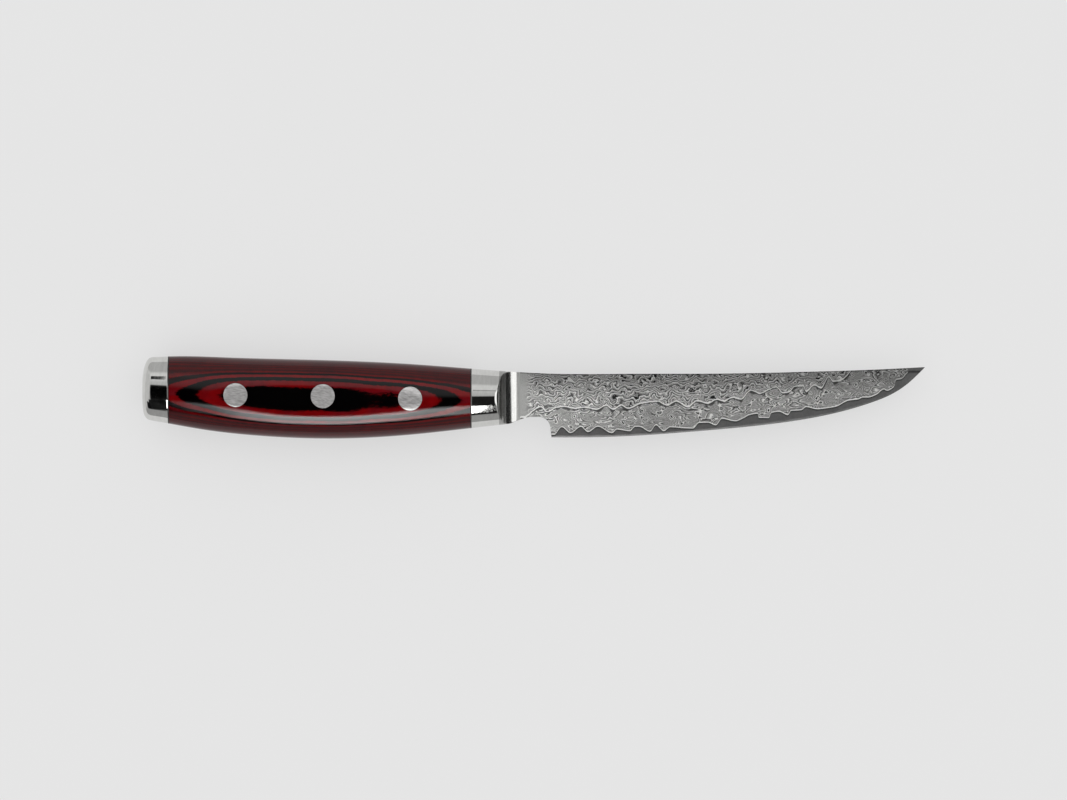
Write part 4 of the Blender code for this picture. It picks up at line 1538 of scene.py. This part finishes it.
@dataclass
class Blade(Part):
    """The core and its two claddings, from the tang's tail to the point.

    The core shows below a wavy line, where the cladding has been ground through, and a second
    wavy line parts the cladding's broad inner layer from the fine ones over it. Over a stretch
    behind the point the first line rises, so that the core fills the tip. At the heel the core
    grows from its own thickness to the ground surface.
    """

    core_finish: Finish = field(default_factory=CoreSteelFinish)
    core_half: float = 0.22
    bevel: float = 0.4
    core_line: Points = CORE_LINE
    layer_line: Points = LAYER_LINE
    point_rise: Triple = (5.2, 4.5, 3.0)
    heel_change: Pair = (-6.0, 1.0)
    least_depth: float = 0.3
    least_cladding: float = 0.004
    wave_fade: float = 3.0
    left_shift: float = 400.0

    @cached_property
    def stations(self) -> Array:
        """Places the sections of the tail, the tang, the choil and the blade, ever closer.

        Returns:
            Their distances from the butt.
        """
        form = self.form
        arc_end, step = form.heel - form.heel_slant, form.cap_front + form.gap
        arc = arc_end - form.choil_radius * (1.0 - np.sin(np.pi / 2.0 * shares(24)))
        tail = [form.cap_front - form.tail_length, step - 0.01]
        tang = np.linspace(step, form.bolster_front - 8.0, 110)
        neck = np.linspace(form.bolster_front - 8.0, arc[0], 60)[1:]
        blade = form.heel + (form.point - form.heel) * shares(470) ** 0.97
        return np.concatenate([tail, tang, neck, arc[1:], blade])

    def limits(self, x: Array) -> tuple[Array, Array]:
        """The lower and upper end of each section: the outline, or the tail's within the cap.

        Args:
            x: distances from the butt.

        Returns:
            The lower ends and the upper ends.
        """
        form = self.form
        inside = x < form.cap_front + form.gap
        low = np.where(inside, form.tail_middle - form.tail_height / 2.0, form.bottom(x))
        high = np.where(inside, form.tail_middle + form.tail_height / 2.0, form.top(x))
        return low, np.maximum(high, low + 0.1)

    def trend(self, points: Points) -> Callable[[Array], Array]:
        """Smooths a layer line.

        Args:
            points: the line's points.

        Returns:
            Its course, a quartic fitted to its points and held at its ends.
        """
        at, height = np.array(points).T
        course = np.polynomial.Polynomial.fit(at, height, 4)
        return lambda x: course(np.clip(x, at[0], at[-1]))

    def wavy(self, points: Points, x: Array, side: Side) -> Array:
        """A layer line's height on one side of the blade.

        On the left its waves run the other way along the blade, so that the sides differ.

        Args:
            points: the line's points.
            x: distances from the butt.
            side: the side of the blade.

        Returns:
            Heights over the axis.
        """
        if side is Side.RIGHT:
            return WavyLine(points)(x)
        at, height = np.array(points).T
        waves = (height - self.trend(points)(at))[::-1]
        return self.trend(points)(x) + WavyLine(tuple(zip((at[0] + at[-1] - at)[::-1], waves)))(x)

    def core_side(self, x: Array, side: Side) -> tuple[Array, Array]:
        """Where the core ends on one side.

        Args:
            x: distances from the butt.
            side: the side of the blade.

        Returns:
            Its visible height, and its half thickness there.
        """
        form = self.form
        low, high = self.limits(x)
        start, end, rise = self.point_rise
        rise = rise * eased(x, form.point - start, form.point - end)
        line = np.clip(self.wavy(self.core_line, x, side) + rise, low + self.bevel * 1.2, high - 0.02)
        share = eased(x, *(form.heel + part for part in self.heel_change))
        return line, self.core_half + (form.blade_half(x, line) - self.core_half) * share

    def core(self) -> Piece:
        """Makes the core: a bevelled edge, the ground wedge up to the wavy line, flat above it.

        Returns:
            The raw piece.
        """
        form, x = self.form, self.stations
        low, high = self.limits(x)
        bevel = np.where(x >= form.heel, np.minimum(self.bevel, (high - low) / 2.0), 0.0)
        start, across = (low + bevel)[:, None], x[:, None]
        rings = [np.stack([x, low, np.zeros_like(x)], axis=-1)[:, None]]
        for side in Side:
            line, half = self.core_side(x, side)
            shown = np.clip(line[:, None], start + 0.01, high[:, None] - 0.01)
            rows = start + (shown - start) * shares(7)
            y = np.concatenate([rows, shown + (high[:, None] - shown) * shares(5)[1:]], axis=1)
            ground = np.minimum(form.blade_half(across, y), half[:, None])
            z = np.where(across < form.heel, half[:, None], ground)
            rings.append(np.stack([np.broadcast_to(across, y.shape), y, z * side.value], axis=-1))
        return skin(form, "core_ground", np.concatenate([*rings[:2], rings[2][:, ::-1]], axis=1))

    def cladding(self, side: Side) -> Piece:
        """Makes one cladding, between the core and the ground surface, over the wavy line.

        Args:
            side: the side of the blade.

        Returns:
            The raw piece.
        """
        form, x = self.form, self.stations
        low, high = self.limits(x)
        line, half = self.core_side(x, side)
        bottom = np.where(x >= form.heel, line, low)
        bottom = low + (bottom - low) * eased(x, form.heel - 0.05, form.heel)
        keep = (high - bottom > self.least_depth) & (form.spine_half(x) - half > self.least_cladding)
        keep &= x < x[~keep & (x > form.heel)].min(initial=np.inf)
        x, high, bottom, half = x[keep], high[keep], bottom[keep], half[keep] + form.gap
        y = bottom[:, None] + (high - bottom)[:, None] * shares(41)
        z = np.maximum(form.blade_half(x[:, None], y), half[:, None])
        outer = np.stack([np.broadcast_to(x[:, None], y.shape), y, z], axis=-1)
        ends = [np.stack([x, level, half - 0.01], axis=-1)[:, None] for level in (high, bottom)]
        return skin(form, f"cladding_{side.label}_layers", np.concatenate([outer, *ends], axis=1), side)

    def mark(self, piece: Piece, side: Side | None) -> None:
        """Stores the depth below the spine and the flow: along, and the heights over both lines.

        The second height fades from the layer line's waves to its trend with distance over it,
        so that the fine layers straighten towards the spine.

        Args:
            piece: the core or a cladding.
            side: its side, or None for both.
        """
        x, y, z = self.form.local(piece).T
        right = z >= 0.0 if side is None else np.full(len(x), side is Side.RIGHT)
        heights = [
            y - np.where(right, self.wavy(points, x, Side.RIGHT), self.wavy(points, x, Side.LEFT))
            for points in (self.core_line, self.layer_line)
        ]
        fade = np.exp(-np.maximum(heights[1], 0.0) / self.wave_fade)
        heights[1] = heights[1] * fade + (y - self.trend(self.layer_line)(x)) * (1.0 - fade)
        along = x + np.where(right, 0.0, self.left_shift)
        keep_value(piece, "flow", np.stack([along, *heights], axis=-1))
        keep_value(piece, "below_spine", self.form.top(x) - y)

    def build(self, holes: tuple[Piece, ...]) -> None:
        """Makes the three pieces, drills them and marks the flow of their layers.

        Args:
            holes: the rivets' spaces.
        """
        made = [(self.core(), "blade_core", None, self.core_finish)]
        made += [(self.cladding(side), f"cladding_{side.label}", side, self.finish) for side in Side]
        for piece, node, side, finish in made:
            self.dress(piece, node, holes, finish)
            self.mark(piece, side)


# ---- the studio ---------------------------------------------------------------------------------


@dataclass(frozen=True)
class Softbox:
    """A flat lamp for reflections that leans towards the knife. Lengths in metres, angles in degrees.

    It spans the directions from near to far, measured from straight up, towards -Y or, turned by
    a quarter, towards +X. Along its length it runs from start to end.
    """

    name: str
    near: float
    far: float
    start: float
    end: float
    radiance: float
    turn: float = 0.0
    height: float = 1.0

    def build(self) -> None:
        """Hangs the lamp. Its power is pi times its area times its radiance."""
        lean, turn = math.radians(self.near + self.far) / 2.0, math.radians(self.turn)
        reach = self.height / math.cos(lean)
        data = bpy.data.lights.new(self.name, "AREA")
        data.shape = "RECTANGLE"
        data.size = self.end - self.start
        data.size_y = 2.0 * reach * math.tan(math.radians(self.far - self.near) / 2.0)
        data.energy = math.pi * data.size * data.size_y * self.radiance
        lamp = put_in_scene(self.name, data)
        along, across = (self.start + self.end) / 2.0, -self.height * math.tan(lean)
        x = along * math.cos(turn) - across * math.sin(turn)
        y = along * math.sin(turn) + across * math.cos(turn)
        lamp.location = (x, y, self.height)
        lamp.rotation_euler = (lean, 0.0, turn)
        lamp.visible_camera = lamp.visible_diffuse = False


@dataclass(frozen=True)
class DarkPatch:
    """A dark thing overhead that only mirrors show, as a range of slopes along X and along Y."""

    x: Pair
    y: Pair
    softness: float = 0.03
    depth: float = 0.975

    def mask(self, slopes: tuple[Signal, Signal]) -> Signal:
        """Finds the patch in the sky.

        Args:
            slopes: the slope of each direction along X and along Y.

        Returns:
            The depth inside the patch and 0 outside it, eased over its softness.
        """
        inside, soft = self.depth, self.softness
        for slope, (low, high) in zip(slopes, (self.x, self.y)):
            inside = inside * slope.span(low - soft, low + soft)
            inside = inside * slope.span(high - soft, high + soft, 1.0, 0.0)
        return inside


@dataclass
class Studio:
    """The camera straight above the knife, softboxes, a floor and a pale sky.

    Lengths in metres. A slope is how far a direction leans for each metre that it rises.
    """

    middle_plane: float
    lens: float = 330.0
    sensor: float = 36.0
    frame_width: float = 0.3233
    look_y: float = -0.0008
    softboxes: tuple[Softbox, ...] = (
        Softbox("strip_light", near=23.4, far=45.7, start=-0.27, end=0.118, radiance=7.2),
        Softbox("strip_near_rim", near=23.4, far=25.6, start=-0.20, end=0.07, radiance=13.0),
        Softbox("strip_far_rim", near=43.2, far=45.7, start=-0.25, end=0.118, radiance=4.5),
        Softbox("side_panel", near=14.0, far=52.0, start=-0.33, end=0.33, radiance=0.9, turn=90.0),
    )
    dark_patches: tuple[DarkPatch, ...] = (
        DarkPatch(x=(-0.27, 0.24), y=(-1.40, 0.10)),
        DarkPatch(x=(-0.27, -0.07), y=(-0.75, 0.17)),
        DarkPatch(x=(-0.47, -0.15), y=(-1.36, -0.50)),
        DarkPatch(x=(-1.05, -0.40), y=(-1.55, -0.70)),
        DarkPatch(x=(-0.28, -0.161), y=(0.43, 0.62), softness=0.004),
        DarkPatch(x=(0.05, 0.30), y=(0.39, 0.46), softness=0.02, depth=0.5),
    )
    fill: float = 0.98
    backdrop: float = 0.787
    sky_levels: Points = (
        (-1.0, 0.38), (-0.78, 0.36), (0.05, 0.50), (0.30, 0.62),
        (0.42, 0.80), (0.62, 0.80), (0.72, 0.52), (1.0, 0.52),
    )
    left_level: float = 0.66
    left_sines: Pair = (-0.25, -0.40)
    left_spread: Pair = (0.5, 0.8)
    flag_level: float = 0.02
    flag_slope: Pair = (1.23, 1.33)
    flag_spread: Pair = (0.6, 0.8)
    floor_radius: float = 4.0

    def camera(self) -> None:
        """A camera that looks straight down, as far up as its frame's width asks."""
        data = bpy.data.cameras.new("camera")
        data.lens, data.sensor_width = self.lens, self.sensor
        camera = put_in_scene("camera", data)
        distance = self.frame_width * self.lens / self.sensor
        camera.location = (0.0, self.look_y, self.middle_plane + distance)
        bpy.context.scene.camera = camera

    def mirrored_sky(self, tree: Tree) -> Signal:
        """What mirrors see overhead: pale levels from side to side, dark patches and a dark flag.

        Args:
            tree: the world's tree.

        Returns:
            The sky's level.
        """
        x, y, up = tree.signal("TexCoord", output="Generated").parts()
        level = (y * 0.5 + 0.5).ramp(tuple(((sine + 1.0) / 2.0, grey) for sine, grey in self.sky_levels))
        left = x.span(*self.left_sines) * abs(y).span(*self.left_spread, 1.0, 0.0)
        level = level.toward(self.left_level, left)
        risen = up.math("MAXIMUM", 0.001)
        slopes = (x / risen, y / risen)
        flag = slopes[0].span(*self.flag_slope, 0.0, 1.0 - self.flag_level)
        flag = flag * abs(y).span(*self.flag_spread, 1.0, 0.0)
        for dark in (flag, *(patch.mask(slopes) for patch in self.dark_patches)):
            level = level * (1.0 - dark)
        return level

    def sky_dome(self) -> None:
        """The camera sees a plain backdrop, mirrors see the sky, and matt surfaces an even fill."""
        world = bpy.data.worlds.new("studio_sky")
        bpy.context.scene.world = world
        world.use_nodes = True
        tree = Tree(world.node_tree)
        level = seen_directly(tree) * (self.mirrored_sky(tree) - self.fill) + self.fill
        level = level.toward(self.backdrop, tree.signal("LightPath", output="Is Camera Ray"))
        tree.fill(world.node_tree.nodes["Background"], {"Color": level})

    def floor(self) -> None:
        """A round pale floor that runs far beyond the camera's view."""
        radius = self.floor_radius * shares(60)[1:, None] ** 2
        turn = np.linspace(0.0, 2.0 * np.pi, 96, endpoint=False)
        x, y = radius * np.cos(turn), radius * np.sin(turn)
        points = np.stack([x, y, np.zeros_like(x)], axis=-1).reshape(-1, 3)
        mesh = bpy.data.meshes.new("floor")
        mesh.from_pydata(points.tolist(), [], [face[::-1] for face in lofted_faces(*x.shape)[:-1]])
        mesh.materials.append(FloorFinish(backdrop=self.backdrop).material)
        put_in_scene("floor", mesh)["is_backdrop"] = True

    def build(self) -> None:
        """Sets up camera, lamps, sky, floor and the plain view transform."""
        self.camera()
        for softbox in self.softboxes:
            softbox.build()
        self.sky_dome()
        self.floor()
        bpy.context.scene.view_settings.view_transform = "Standard"


def main() -> None:
    """Builds the knife's pieces in order, dresses them and sets up the studio."""
    logging.basicConfig(level=logging.INFO, format="%(message)s")
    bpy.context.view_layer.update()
    form = KnifeForm.from_solids()
    neck_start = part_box("bolster_right")[1].x / MM
    polished, laminate = PolishedSteelFinish(sanded_end=neck_start), LaminateFinish()

    rivets = Rivets(form, RivetSteelFinish())
    holes = rivets.holes()
    Blade(form, LayeredSteelFinish(neck_start=neck_start)).build(holes)
    adhesive = AdhesiveFinish()
    for side in Side:
        Bolster(form, polished, side).build()
        AdhesiveFilm(form, adhesive, side).build(holes)
        Scale(form, laminate, side).build(holes)
    EndCap(form, polished).build()
    rivets.build()
    for cutter in holes:
        bpy.data.objects.remove(cutter)

    Studio(middle_plane=form.place[2] * MM).build()
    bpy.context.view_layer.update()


if __name__ == "__main__":
    main()
